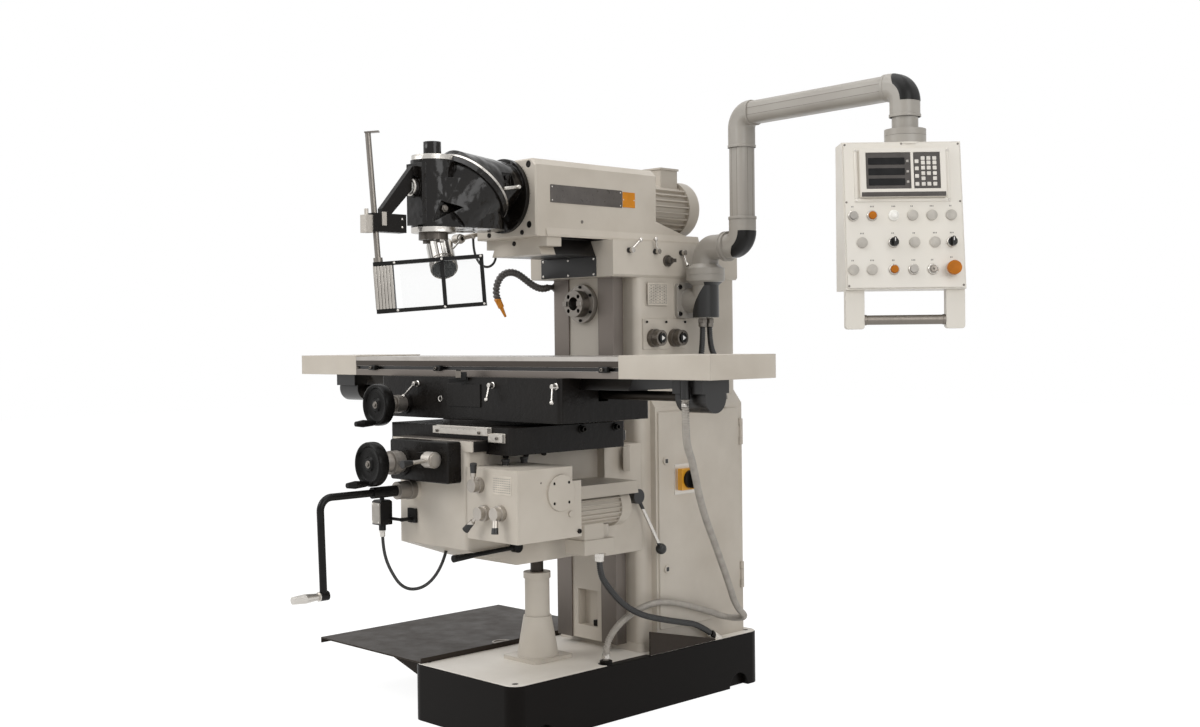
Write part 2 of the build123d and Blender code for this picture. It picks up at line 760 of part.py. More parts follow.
# Ram: hollow bevelled casting with a cradle for the motor, lips and the dovetail
with BuildPart() as ram_casting:
    with BuildSketch(Plane(origin=(0, 0, 0), x_dir=(0, 1, 0), z_dir=(1, 0, 0))):
        with BuildLine():
            Polyline(
                (ram_front, ram_bottom),
                (ram_front, ram_top),
                (ram_rear, ram_top),
                (ram_rear, ram_bottom + ram_tail_rise),
                (ram_tail, ram_bottom + ram_tail_end),
                (ram_tail, ram_bottom),
                close=True,
            )
        make_face()
    extrude(amount=ram_half_width, both=True)
    roof = ram_casting.faces().sort_by(Axis.Z)[-1]
    chamfer(roof.edges().filter_by(Axis.Y), ram_bevel)
    front_edges = ram_casting.faces().sort_by(Axis.Y)[0].edges()
    chamfer(front_edges, 5)
    cradle = ram_half_width - ram_wall
    slab((-cradle, cradle), (ram_rear, ram_tail - 18), (ram_bottom + 18, ram_top), Mode.SUBTRACT)
    slab((-cradle, cradle), (ram_front + 30, ram_rear - 25), (ram_bottom + 30, ram_top - 28), Mode.SUBTRACT)
    # Side lips along the bottom
    for side in (-1, 1):
        edge = side * ram_half_width
        with BuildSketch(Plane(origin=(0, ram_tail, 0), x_dir=(1, 0, 0), z_dir=(0, -1, 0))):
            with BuildLine():
                Polyline(
                    (edge, ram_bottom),
                    (edge + side * ram_lip, ram_bottom),
                    (edge + side * ram_lip, ram_bottom + ram_lip_height / 2),
                    (edge, ram_bottom + ram_lip_height * 2),
                    close=True,
                )
            make_face()
        extrude(amount=ram_tail - ram_front - 40)
    with BuildSketch(Plane(origin=(0, ram_tail, 0), x_dir=(1, 0, 0), z_dir=(0, -1, 0))):
        with BuildLine():
            Polyline(
                (-dovetail_neck, ram_bottom),
                (dovetail_neck, ram_bottom),
                (dovetail_neck, column_top),
                (dovetail_base, dovetail_floor + slide_gap),
                (-dovetail_base, dovetail_floor + slide_gap),
                (-dovetail_neck, column_top),
                close=True,
            )
        make_face()
    extrude(amount=ram_tail - ram_front - 43)
    for x in (-112, 112):
        for z in (ram_axis_z - 95, ram_axis_z + 92):
            with Locations(Plane(origin=(x, ram_front, z), z_dir=(0, -1, 0))):
                Cylinder(11, 26, mode=Mode.SUBTRACT)
    rod((0, ram_front - 1, ram_axis_z), (0, ram_front + 60, ram_axis_z), 60 + running_fit, Mode.SUBTRACT)
    # Cross block under the front
    slab(
        (-ram_half_width, ram_half_width), (ram_front + 43, ram_front + 105), (ram_bottom - 29, ram_bottom)
    )
    # Foot of the lamp on the left side
    lamp_seat = (-ram_half_width - 6, lamp_pivot_y, 1560)
    rod((1 - ram_half_width, lamp_pivot_y, 1560), lamp_seat, 17)
    rod((-ram_half_width + 20, lamp_pivot_y, 1560), lamp_seat, 7 + running_fit, Mode.SUBTRACT)
save(ram_casting, "ram_casting")

# Ram motor: flange, ribbed frame, terminal box and fan cover
with BuildPart() as ram_motor:
    motor_z = ram_axis_z
    motor_end = ram_rear + ram_motor_length
    rod((0, ram_rear, motor_z), (0, ram_rear + 16, motor_z), fan_cover_radius)
    rod((0, ram_rear + 16, motor_z), (0, motor_end, motor_z), ram_motor_radius)
    fins = 28
    for fin in range(fins):
        angle = fin * 360 / fins
        if abs(angle - 90) > 40:
            with Locations(Plane(origin=(0, ram_rear + 22, motor_z), x_dir=(1, 0, 0), z_dir=(0, 1, 0))):
                with Locations(Location((0, 0, 0), (0, 0, 180 + angle))):
                    with Locations((ram_motor_radius + 5, 0, (ram_motor_length - 22) / 2)):
                        Box(13, 4.5, ram_motor_length - 22)
    rod((0, motor_end, motor_z), (0, motor_end + fan_cover_length, motor_z), fan_cover_radius)
    fillet(ram_motor.faces().sort_by(Axis.Y)[-1].edges(), 12)
    slab((-46, 46), (ram_rear + 130, ram_rear + 215), (motor_z + ram_motor_radius - 16, motor_z + 132))
    slab((-50, 50), (ram_rear + 126, ram_rear + 219), (motor_z + 132, motor_z + 139))
save(ram_motor, "ram_motor")

with BuildPart() as ram_feed_shaft:
    shaft_x = head_block_half_width
    rod((shaft_x - 68, feed_shaft_y, feed_shaft_z), (shaft_x, feed_shaft_y, feed_shaft_z), 10)
    rod((shaft_x, feed_shaft_y, feed_shaft_z), (shaft_x + 8, feed_shaft_y, feed_shaft_z), 19)
    rod((shaft_x + 8, feed_shaft_y, feed_shaft_z), (shaft_x + 22, feed_shaft_y, feed_shaft_z), 11)
    slab(
        (shaft_x + 22, shaft_x + 38), (feed_shaft_y - 6, feed_shaft_y + 6),
        (feed_shaft_z - 6, feed_shaft_z + 6)
    )
save(ram_feed_shaft, "ram_feed_shaft")

lever_tips = [(54, 1528), (125, 1533), (277, 1454)]
for number, (y, (tip_y, tip_z)) in enumerate(zip(lever_seats, lever_tips), 1):
    hub = (head_block_half_width, y, 1494)
    hub_end = (head_block_half_width + 22, y, 1494)
    clamp = ball_lever(hub, hub_end, 9, (head_block_half_width + 20, tip_y, tip_z), 3.5, 7.5, 35)
    save(clamp, f"ram_clamp_lever_{number}")

# Rear half of the head: flange on the ram, neck that turns into the inclined ring
with BuildPart() as swivel_housing:
    flange_front = ram_front - swivel_flange_depth
    neck_end = incline_y - incline_radius
    taper((0, flange_front, ram_axis_z), (0, neck_end, ram_axis_z), swivel_neck_radius, incline_radius)
    rod(incline.origin - tilt * 300, incline.origin - tilt * 10, incline_radius - 3, Mode.INTERSECT)
    rod(incline.origin - tilt * 10, incline.origin - tilt * slide_gap, incline_radius)
    rod((0, ram_front - slide_gap, ram_axis_z), (0, flange_front, ram_axis_z), swivel_flange_radius)
    rod((0, ram_front + 55, ram_axis_z), (0, ram_front - 1, ram_axis_z), 60)
    for side in (-1, 1):
        slab(sorted((side * 90, side * 150)), (-433, -389), (1669, 1721), Mode.SUBTRACT)
        for z in (1683, 1707):
            rod((side * 88, -411, z), (side * 100, -411, z), 7)
    rod(incline.origin - tilt * 40, incline.origin + tilt, 45 + running_fit, Mode.SUBTRACT)
save(swivel_housing, "swivel_housing")

# Front half of the head: graduated rim, tapering body, spindle housing with rings, cap and front boss
with BuildPart() as head_housing:
    taper(incline.origin, incline.origin + tilt * 150, incline_radius - 6, 90)
    with BuildSketch(Plane.XY.offset(head_bottom)) as head_plan:
        with Locations((0, head_y)):
            Circle(head_radius)
        with Locations((0, incline_y + 8)):
            Circle(98)
        make_hull()
    extrude(amount=148)
    slab((-300, 300), (-900, 0), (head_bottom - 300, head_bottom), Mode.SUBTRACT)
    rod((0, head_y, head_bottom), (0, head_y, head_top), head_radius + 0.5)
    rod((0, head_y, head_top), (0, head_y, head_top + head_ring), head_radius - 3)
    split(bisect_by=incline, keep=Keep.TOP)
    rod(incline.origin, incline.origin + tilt * incline_rim, incline_radius)
    rod(incline.origin + tilt, incline.origin - tilt * 36, 45)
    # Clamp pockets at the sides, each with its stud
    for side in (-1, 1):
        with BuildSketch(Plane(origin=(side * 52, 0, 0), x_dir=(0, side, 0), z_dir=(side, 0, 0))):
            with BuildLine():
                Polyline((side * -640, 1626), (side * -580, 1606), (side * -668, 1560), close=True)
            make_face()
        extrude(amount=90, mode=Mode.SUBTRACT)
        rod((side * 40, -624, 1603), (side * 66, -624, 1603), 8)
    rod((0, head_y, head_bottom - head_ring), (0, head_y, head_bottom), head_radius + 1)
    rod(
        (0, head_y, head_top + head_ring), (0, head_y, head_top + head_ring + head_cap_height),
        head_cap_radius
    )
    # Flat front with the sight glass boss
    head_front = head_y - head_radius - 3
    slab((-38, 38), (head_front, head_y), (head_bottom + 6, head_top - 12))
    rod((0, head_front, 1666), (0, head_front - 12, 1666), 31)
    bore_end = head_top - 30
    shaft_fit = spindle_radius + running_fit
    rod((0, head_y, head_bottom - head_ring), (0, head_y, bore_end), shaft_fit, Mode.SUBTRACT)
save(head_housing, "head_housing")

vertical_face = head_bottom - head_ring - slide_gap - nose_length
vertical_spindle = spindle(
    (0, head_y, vertical_face), (0, 0, 1), head_top - 40 - vertical_face, nose_length
)
save(vertical_spindle, "vertical_spindle")

# Chip guard: bracket with its clamp block, sliding post, hinged frame and clear screen
with BuildPart() as guard_bracket:
    slab((-17, 17), (head_front - 14, head_front), (1698, 1728))
    with BuildSketch(Plane(origin=(-11, 0, 0), x_dir=(0, 1, 0), z_dir=(1, 0, 0))):
        with BuildLine():
            Polyline(
                (head_front - 14, 1698),
                (head_front - 14, 1728),
                (guard_y + 18, guard_z + 40),
                (guard_y + 18, guard_z + 24),
                (guard_y + 50, guard_z + 24),
                (head_front - 14, 1660),
                close=True,
            )
        make_face()
    extrude(amount=22)
    slab((-18, 18), (guard_y - 17, guard_y + 100), (guard_z - 28, guard_z + 26))
    slab((-14, 14), (guard_y - 42, guard_y - 17), (guard_z - 32, guard_z + 20))
    slab((18, 20), (guard_y + 12, guard_y + 28), (guard_z - 10, guard_z + 30))
    rod((0, guard_y - 30, guard_z + 20), (0, guard_y - 30, guard_z + 38), 6)
    post_low = along(guard, 0, -60)
    post_high = along(guard, 0, 60)
    rod(post_low, post_high, guard_post_radius + running_fit, Mode.SUBTRACT)
save(guard_bracket, "guard_bracket")

with BuildPart() as guard_post:
    rod(along(guard, 0, guard_top - 60), along(guard, 0, guard_post_up), guard_post_radius)
    with Locations(Plane(origin=along(guard, 12, guard_post_up), x_dir=guard.x_dir, z_dir=guard.y_dir)):
        Box(42, 20, 4)
    rod(along(guard, 0, guard_top + slide_gap), along(guard, 0, guard_top + 13), guard_post_radius + 5)
save(guard_post, "guard_post")

with BuildPart() as guard_frame:
    right = guard_reach
    top = guard_top
    bottom = guard_top - guard_height
    post_side = -14
    for y in (top - guard_bar / 2, bottom + guard_bar / 2):
        with BuildSketch(guard):
            with Locations(((post_side + right) / 2, y)):
                Rectangle(right - post_side, guard_bar)
        extrude(amount=13, both=True)
    for x in (186, right - guard_bar / 2):
        with BuildSketch(guard):
            with Locations((x, (top + bottom) / 2)):
                Rectangle(guard_bar, guard_height)
        extrude(amount=5, both=True)
    with BuildSketch(guard):
        with Locations((post_side + guard_profile / 2, (top + bottom) / 2)):
            Rectangle(guard_profile, guard_height - 2)
    extrude(amount=13, both=True)
    rod(along(guard, 0, top + 1), along(guard, 0, top - 61), guard_post_radius + running_fit, Mode.SUBTRACT)
    slot = along(guard, (right + guard_profile) / 2, (top + bottom) / 2)
    screen_size = (right - guard_profile - 10, guard_height - 2 * guard_bar + 8)
    with Locations(Plane(origin=slot, x_dir=guard.x_dir, z_dir=guard.z_dir)):
        Box(*screen_size, 4, mode=Mode.SUBTRACT)
save(guard_frame, "guard_frame")

with BuildPart() as guard_screen:
    with Locations(Plane(origin=slot, x_dir=guard.x_dir, z_dir=guard.z_dir)):
        Box(screen_size[0] - slide_gap, screen_size[1] - slide_gap, 4)
save(guard_screen, "guard_screen")

# Work lamp: arm on the ram's left, tilting lamp head
with BuildPart() as lamp_arm:
    foot = Vector(-ram_half_width - 6 - slide_gap, lamp_pivot_y, 1560)
    rod(foot + Vector(24, 0, 0), foot, 7)
    rod(foot, foot + Vector(-20, 0, 0), 16)
    knuckle = Vector(lamp_x, lamp_knuckle_y, 1535)
    rod(foot + Vector(-10, 0, 0), knuckle, 8)
    rod(knuckle + Vector(-13, 0, 0), knuckle + Vector(13, 0, 0), 16)
    rod((-159, -337, 1538), (-159, -337, 1548), 7)
    rod(knuckle + Vector(-14, 0, 0), knuckle + Vector(14, 0, 0), 6 + running_fit, Mode.SUBTRACT)
save(lamp_arm, "lamp_arm")

with BuildPart() as lamp_head:
    rod(knuckle + Vector(-19, 0, 0), knuckle + Vector(19, 0, 0), 6)
    for side in (-1, 1):
        ear = knuckle + Vector(side * 16.5, 0, 0)
        rod(ear - Vector(2.5, 0, 0), ear + Vector(2.5, 0, 0), 13)
        rod(ear + Vector(0, -9, -9), ear + Vector(0, -42, -40), 3)
    lamp_axis = Vector(0.62, -0.32, -0.72).normalized()
    lamp_centre = knuckle + Vector(0, -67, -62)
    lamp_back = lamp_centre - lamp_axis * (lamp_length / 2)
    lamp_front = lamp_centre + lamp_axis * (lamp_length / 2)
    taper(lamp_back - lamp_axis * 14, lamp_back, lamp_radius - 16, lamp_radius - 1)
    rod(lamp_back, lamp_front, lamp_radius)
    rod(lamp_front - lamp_axis * 46, lamp_front + lamp_axis, lamp_radius - 4, Mode.SUBTRACT)
save(lamp_head, "lamp_head")

# Knee: deep bracket casting with cross ways on top and wrap plates round the column ways
with BuildPart() as knee_casting:
    half = knee_half_width
    with BuildSketch(Plane(origin=(0, 0, 0), x_dir=(0, 1, 0), z_dir=(1, 0, 0))):
        with BuildLine():
            Polyline(
                (knee_front, knee_front_bottom),
                (knee_front, knee_shoulder),
                (0, knee_shoulder),
                (0, knee_bottom),
                (knee_slope_rear, knee_bottom),
                close=True,
            )
        make_face()
    extrude(amount=half, both=True)
    fillet(knee_casting.faces().sort_by(Axis.Y)[0].edges().filter_by(Axis.Z), 16)
    slab((-knee_way_half_width, knee_way_half_width), (knee_front, 0), (knee_shoulder, knee_top))
    for side in (-1, 1):
        outer = side * knee_wrap_half_width
        wrap_z = (knee_wrap_bottom, knee_wrap_top)
        wall = side * (way_half_width + slide_gap)
        keeper = side * (way_neck_half_width + slide_gap)
        slab(sorted((wall, outer)), (knee_wrap_front, knee_wrap_rear), wrap_z)
        slab(sorted((keeper, outer)), (way_thickness + slide_gap, knee_wrap_rear), wrap_z)
    # Closed chambers, the well that the pedestal enters as the knee comes down, and the screw's seat
    slab((-half + 34, half - 34), (knee_front + 36, screw_y - 80), (620, 850), Mode.SUBTRACT)
    slab((-half + 34, half - 34), (screw_y + 80, -40), (570, 850), Mode.SUBTRACT)
    rod((0, screw_y, knee_bottom - 1), (0, screw_y, knee_well_top), knee_well_radius, Mode.SUBTRACT)
    rod(
        (0, screw_y, knee_well_top - 1), (0, screw_y, screw_high + 1), screw_radius + running_fit,
        Mode.SUBTRACT
    )
    # Bearing flange of the elevating crank
    rod((handwheel_x, knee_front, crank_z), (handwheel_x, knee_front - 12, crank_z), 30)
    rod(
        (handwheel_x, knee_front + 30, crank_z), (handwheel_x, knee_front - 13, crank_z), 14 + running_fit,
        Mode.SUBTRACT
    )
    rod((half - 30, -463, 583), (half + 1, -463, 583), 8 + running_fit, Mode.SUBTRACT)
    wrap = knee_wrap_half_width
    rod((wrap - 30, 22, 697), (wrap + 1, 22, 697), 8 + running_fit, Mode.SUBTRACT)
save(knee_casting, "knee_casting")

cover_face = knee_front - gear_cover_depth
with BuildPart() as knee_gear_cover:
    cover_x = (-gear_cover_half_width, gear_cover_half_width)
    slab(cover_x, (cover_face, knee_front), (gear_cover_bottom, gear_cover_top))
    fillet(knee_gear_cover.edges().filter_by(Axis.Y), 9)
    fillet(knee_gear_cover.faces().sort_by(Axis.Y)[0].edges(), 4)
    rod((handwheel_x, cover_face, cross_wheel_z), (handwheel_x, cover_face - 5, cross_wheel_z), 42)
    seat_end = cover_face + 32
    fit = 12 + running_fit
    rod(
        (handwheel_x, seat_end, cross_wheel_z), (handwheel_x, cover_face - 6, cross_wheel_z), fit,
        Mode.SUBTRACT
    )
    # Bearing block of the cross feed lever
    slab((52, 74), (cover_face - 44, cover_face), (836, 880))
    rod((51, cover_face - 25, 858), (75, cover_face - 25, 858), 8 + running_fit, Mode.SUBTRACT)
save(knee_gear_cover, "knee_gear_cover")

with BuildPart() as elevating_screw:
    rod((0, screw_y, screw_low), (0, screw_y, screw_high), screw_radius)
    chamfer(elevating_screw.edges().filter_by(GeomType.CIRCLE).sort_by(Axis.Z)[0], 3)
save(elevating_screw, "elevating_screw")

# Feed gearbox with its round side cover
with BuildPart() as feed_gearbox:
    box_x = (knee_half_width, gearbox_right)
    slab(box_x, (knee_front, gearbox_upper_rear), (gearbox_step, gearbox_top))
    slab(box_x, (knee_front, gearbox_rear), (gearbox_bottom, gearbox_step))
    fillet(feed_gearbox.faces().sort_by(Axis.Y)[0].edges().filter_by(Axis.Z).sort_by(Axis.X)[-1], 6)
    with Locations(Plane(origin=(gearbox_right, -475, 762), z_dir=(1, 0, 0))):
        Cylinder(53, 7, align=low)
        with PolarLocations(41, 4, start_angle=45):
            Cylinder(4.5, 30, mode=Mode.SUBTRACT)
    rod((gearbox_right, -436, 697), (gearbox_right + 5, -436, 697), 9)
    lever_hubs = [(226, 787), (252, 708), (323, 712)]
    for x, z in lever_hubs:
        rod((x, knee_front + 30, z), (x, knee_front - 1, z), 8 + running_fit, Mode.SUBTRACT)
    for x, y in ((223, -538), (200, -445)):
        rod((x, y, gearbox_top), (x, y, gearbox_top + 10), 11)
        rod((x, y, gearbox_top + 10), (x, y, gearbox_top + 18), 13)
save(feed_gearbox, "feed_gearbox")

# Feed motor with fan cover, terminal box and its bent tin shield
with BuildPart() as feed_motor:
    axis = (feed_motor_x, feed_motor_z)
    frame_end = feed_motor_end - 46
    rod((axis[0], gearbox_rear, axis[1]), (axis[0], gearbox_rear + 14, axis[1]), feed_motor_radius + 8)
    rod((axis[0], gearbox_rear + 14, axis[1]), (axis[0], frame_end, axis[1]), feed_motor_radius)
    frame_length = frame_end - gearbox_rear - 18
    for fin in range(24):
        angle = fin * 15
        if abs(angle - 270) > 40:
            with Locations(
                Plane(origin=(axis[0], gearbox_rear + 18, axis[1]), x_dir=(1, 0, 0), z_dir=(0, 1, 0))
            ):
                with Locations(Location((0, 0, 0), (0, 0, 180 + angle))):
                    with Locations((feed_motor_radius + 2.5, 0, frame_length / 2)):
                        Box(8, 3.5, frame_length)
    rod((axis[0], frame_end, axis[1]), (axis[0], feed_motor_end, axis[1]), feed_motor_radius + 8)
    fillet(feed_motor.faces().sort_by(Axis.Y)[-1].edges(), 9)
    slab((axis[0] - 36, axis[0] + 42), (-318, -236), (axis[1] - 92, axis[1] - feed_motor_radius + 12))
    slab((axis[0] - 40, axis[0] + 46), (-322, -194), (axis[1] - 136, axis[1] - 92))
    rod((axis[0], -215, axis[1] - 92), (axis[0], -215, axis[1] - 50), 30)
    conduit_exit = Vector(axis[0] + 15, -230, axis[1] - 152)
    rod(conduit_exit, conduit_exit + Vector(0, 0, 16), conduit_radius + 3)
    # Bent shield above the motor, hung on the knee's side
    with BuildSketch(Plane(origin=(0, gearbox_rear + 8, 0), x_dir=(1, 0, 0), z_dir=(0, -1, 0))):
        with BuildLine():
            Polyline(
                (knee_half_width, shield_roof),
                (axis[0] + 60, shield_roof),
                (axis[0] + 66, shield_roof - shield_flap),
                (axis[0] + 63, shield_roof - shield_flap),
                (axis[0] + 57, shield_roof - sheet),
                (knee_half_width + sheet, shield_roof - sheet),
                (knee_half_width + sheet, shield_roof - 20),
                (knee_half_width, shield_roof - 20),
                close=True,
            )
        make_face()
    extrude(amount=gearbox_rear + 115)
save(feed_motor, "feed_motor")

# Limit switch on its bracket at the knee's front left
with BuildPart() as limit_switch:
    slab((-113, -73), (knee_front - 8, knee_front), (652, 696))
    rod((-93, knee_front - 8, 664), (-93, knee_front - 48, 664), 6)
    rod((-93, knee_front - 47, 664), (-150, knee_front - 47, 664), 5)
    slab((-188, -142), (knee_front - 86, knee_front - 44), (646, 722))
    chamfer(limit_switch.faces().sort_by(Axis.Z)[-1].edges(), 5)
    rod((-165, knee_front - 65, 646), (-165, knee_front - 65, 628), 11)
    rod((-165, knee_front - 65, 722), (-165, knee_front - 65, 736), 7)
save(limit_switch, "limit_switch")

cross_handwheel = handwheel(handwheel_x, cross_wheel_z, cover_face - 5, cross_wheel_y, 36, 34)
save(cross_handwheel, "cross_handwheel")

# Loose crank on the elevating shaft
with BuildPart() as knee_crank:
    crank_face = knee_front - 12
    x = handwheel_x
    rod((x, crank_face + 40, crank_z), (x, crank_face - 1, crank_z), 14)
    rod((x, crank_face - slide_gap, crank_z), (x, crank_face - 20, crank_z), 30)
    rod((x, crank_face - 20, crank_z), (x, crank_face - 60, crank_z), 27)
    rod((x, crank_face - 60, crank_z), (x, crank_face - 150, crank_z), 17)
    with BuildLine() as crank_line:
        FilletPolyline(
            (x, crank_face - 150, crank_z),
            (x, crank_y, crank_z),
            (x, crank_y + 8, crank_z - crank_throw),
            radius=38,
        )
    with BuildSketch(Plane(origin=(x, crank_face - 150, crank_z), z_dir=(0, -1, 0))):
        Circle(11)
    sweep(path=crank_line.wires()[0])
    end = Vector(x, crank_y + 8, crank_z - crank_throw)
    rod(end + Vector(0, 14, 0), end + Vector(0, -18, 0), 14)
    taper(end + Vector(0, -18, 0), end + Vector(0, -62, 0), 10, 14)
    taper(end + Vector(0, -62, 0), end + Vector(0, -104, 0), 14, 11)
save(knee_crank, "knee_crank")

grip_ends = [(241, 852), (201, 657), (333, 657)]
for number, ((x, z), (grip_x, grip_z)) in enumerate(zip(lever_hubs, grip_ends), 1):
    with BuildPart() as feed_lever:
        rod((x, knee_front + 28, z), (x, knee_front - slide_gap, z), 8)
        rod((x, knee_front - slide_gap, z), (x, knee_front - 14, z), 23)
        rod((x, knee_front - 14, z), (x, knee_front - 32, z), 19)
        middle = Vector(x, knee_front - 23, z)
        end = Vector(grip_x, knee_front - 34, grip_z)
        aim = (end - middle).normalized()
        rod(middle, end - aim * 36, 5)
        taper(end - aim * 38, end, 8, 10.5)
    save(feed_lever, f"feed_lever_{number}")

with BuildPart() as cross_feed_lever:
    lever_y = cover_face - 25
    rod((46, lever_y, 858), (76, lever_y, 858), 8)
    rod((74 + slide_gap, lever_y, 858), (112, lever_y, 858), 24)
    rod((112, lever_y, 858), (116, lever_y, 858), 19)
    rod((94, lever_y, 858), (94, lever_y - 76, 854), 6)
    taper((94, lever_y - 70, 854), (94, lever_y - 104, 852), 8, 12)
save(cross_feed_lever, "cross_feed_lever")

with BuildPart() as knee_clamp_lever:
    x = knee_half_width
    rod((x - 28, -463, 583), (x + slide_gap, -463, 583), 8)
    rod((x + slide_gap, -463, 583), (x + 24, -463, 583), 17)
    rod((x + 14, -463, 583), (x + 14, -640, 577), 7)
    taper((x + 14, -636, 577), (x + 14, -706, 575), 8, 11)
save(knee_clamp_lever, "knee_clamp_lever")

with BuildPart() as knee_ball_lever:
    x = knee_wrap_half_width
    rod((x - 28, 22, 697), (x + slide_gap, 22, 697), 8)
    rod((x + slide_gap, 22, 697), (x + 30, 22, 697), 24)
    rod((x + 20, 22, 697), (246, 105, 520), 6)
    ball((246, 105, 520), 18)
save(knee_ball_lever, "knee_ball_lever")

# Lower saddle over the cross ways, with the graduated swivel ring and the scale bracket
with BuildPart() as lower_saddle:
    slab((-saddle_half_width, saddle_half_width), (saddle_front, saddle_rear), (saddle_skirt, saddle_top))
    fillet(lower_saddle.edges().filter_by(Axis.Z), 10)
    gap = knee_way_half_width + slide_gap
    slab((-gap, gap), (saddle_front - 1, saddle_rear + 1), (saddle_skirt - 1, knee_top), Mode.SUBTRACT)
    for side in (-1, 1):
        keeper = sorted((side * saddle_keeper, side * saddle_half_width))
        slab(keeper, (saddle_front + 10, saddle_rear - 10), (saddle_skirt, knee_shoulder - slide_gap))
    rod((0, swivel_y, saddle_top), (0, swivel_y, carrier_bottom), swivel_ring_radius)
    rod((0, swivel_y, carrier_bottom), (0, swivel_y, carrier_bottom + 25), 40)
    slab((-52, 206), (saddle_front - 16, saddle_front), (926, 948))
    slab((206, 268), (saddle_front - 12, saddle_front), (908, 932))
save(lower_saddle, "lower_saddle")

# Swivel carrier with the table dovetail and the trough of the table screw
with BuildPart() as swivel_carrier:
    slab(
        (-carrier_half_width, carrier_half_width), (carrier_front, carrier_rear),
        (carrier_bottom, carrier_top)
    )
    fillet(swivel_carrier.edges().filter_by(Axis.Z), 14)
    with BuildSketch(Plane(origin=(0, swivel_y, 0), x_dir=(0, 1, 0), z_dir=(1, 0, 0))):
        with BuildLine():
            Polyline(
                (-table_dovetail_neck - slide_gap, carrier_top),
                (table_dovetail_neck + slide_gap, carrier_top),
                (table_dovetail_base + slide_gap, table_bottom - table_dovetail_depth - slide_gap),
                (-table_dovetail_base - slide_gap, table_bottom - table_dovetail_depth - slide_gap),
                close=True,
            )
        make_face()
    extrude(amount=carrier_half_width + 1, both=True, mode=Mode.SUBTRACT)
    trough = table_screw_radius + 6
    for x in ((-carrier_half_width - 1, -60), (60, carrier_half_width + 1)):
        trough_z = (table_screw_z - trough, table_bottom - table_dovetail_depth)
        slab(x, (swivel_y - trough, swivel_y + trough), trough_z, Mode.SUBTRACT)
    nut_fit = table_screw_radius + running_fit
    rod((-70, swivel_y, table_screw_z), (70, swivel_y, table_screw_z), nut_fit, Mode.SUBTRACT)
    rod(
        (0, swivel_y, carrier_bottom - 1), (0, swivel_y, carrier_bottom + 26), 40 + running_fit,
        Mode.SUBTRACT
    )
    for side in (-1, 1):
        chamber = sorted((side * 90, side * (carrier_half_width - 25)))
        slab(
            chamber, (carrier_front + 60, carrier_rear - 25), (carrier_bottom + 18, table_screw_z - 34),
            Mode.SUBTRACT
        )
    # Front panel and the bearing flange of the table handwheel
    slab((-81, 79), (carrier_front - 4, carrier_front), (1004, 1074))
    rod(
        (table_wheel_x, carrier_front, table_wheel_z), (table_wheel_x, carrier_front - 5, table_wheel_z),
        34
    )
    wheel_fit = 12 + running_fit
    wheel_seat = (table_wheel_x, carrier_front + 36, table_wheel_z)
    rod((table_wheel_x, carrier_front - 6, table_wheel_z), wheel_seat, wheel_fit, Mode.SUBTRACT)
save(swivel_carrier, "swivel_carrier")

table_handwheel = handwheel(table_wheel_x, table_wheel_z, carrier_front - 5, table_wheel_y, 29, 34)
save(table_handwheel, "table_handwheel")

# Table: tee slots, front stop groove, dovetail, stepped ends and the screw's end brackets
with BuildPart() as table_plate:
    table_y = (table_front, table_rear)
    slab((-table_half_length, table_half_length), table_y, (table_bottom, table_top))
    end = table_half_length + table_end_reach
    slab((-end, end), (-420, -250), (table_bottom, table_bottom + table_tongue))
    with BuildSketch(Plane(origin=(0, swivel_y, 0), x_dir=(0, 1, 0), z_dir=(1, 0, 0))):
        with BuildLine():
            Polyline(
                (-table_dovetail_neck, table_bottom),
                (table_dovetail_neck, table_bottom),
                (table_dovetail_base, table_bottom - table_dovetail_depth),
                (-table_dovetail_base, table_bottom - table_dovetail_depth),
                close=True,
            )
        make_face()
    extrude(amount=table_half_length, both=True)
    for slot_y in (-tee_slot_pitch, 0, tee_slot_pitch):
        half = tee_slot_width / 2
        floor = table_top - tee_slot_depth
        slot_span = (-table_half_length - 1, table_half_length + 1)
        slab(
            slot_span, (swivel_y + slot_y - half, swivel_y + slot_y + half), (floor, table_top + 9),
            Mode.SUBTRACT
        )
        wide = half + 5
        slab(
            slot_span, (swivel_y + slot_y - wide, swivel_y + slot_y + wide), (floor, floor + 10),
            Mode.SUBTRACT
        )
    slab(
        (-table_half_length - 1, table_half_length + 1), (table_front - 1, table_front + 9), (1115, 1126),
        Mode.SUBTRACT
    )
    for side in (-1, 1):
        inner = side * table_bracket_x
        outer = side * (table_bracket_x + table_bracket_length)
        slab(sorted((inner, outer)), (swivel_y - 56, swivel_y + 56), (table_screw_z + 10, table_bottom))
        rod((inner, swivel_y, table_screw_z), (outer, swivel_y, table_screw_z), 44)
        reach = side * (table_bracket_x + table_bracket_length - 12)
        rod(
            (inner - side, swivel_y, table_screw_z), (reach, swivel_y, table_screw_z), nut_fit,
            Mode.SUBTRACT
        )
    rod((table_drain_x, table_drain_y, table_drain_low), (table_drain_x, table_drain_y, table_bottom), 14)
    slab(
        (table_drain_x - 14, table_drain_x + 14), (table_drain_y, swivel_y - 40),
        (table_bottom - 22, table_bottom)
    )
save(table_plate, "table_plate")

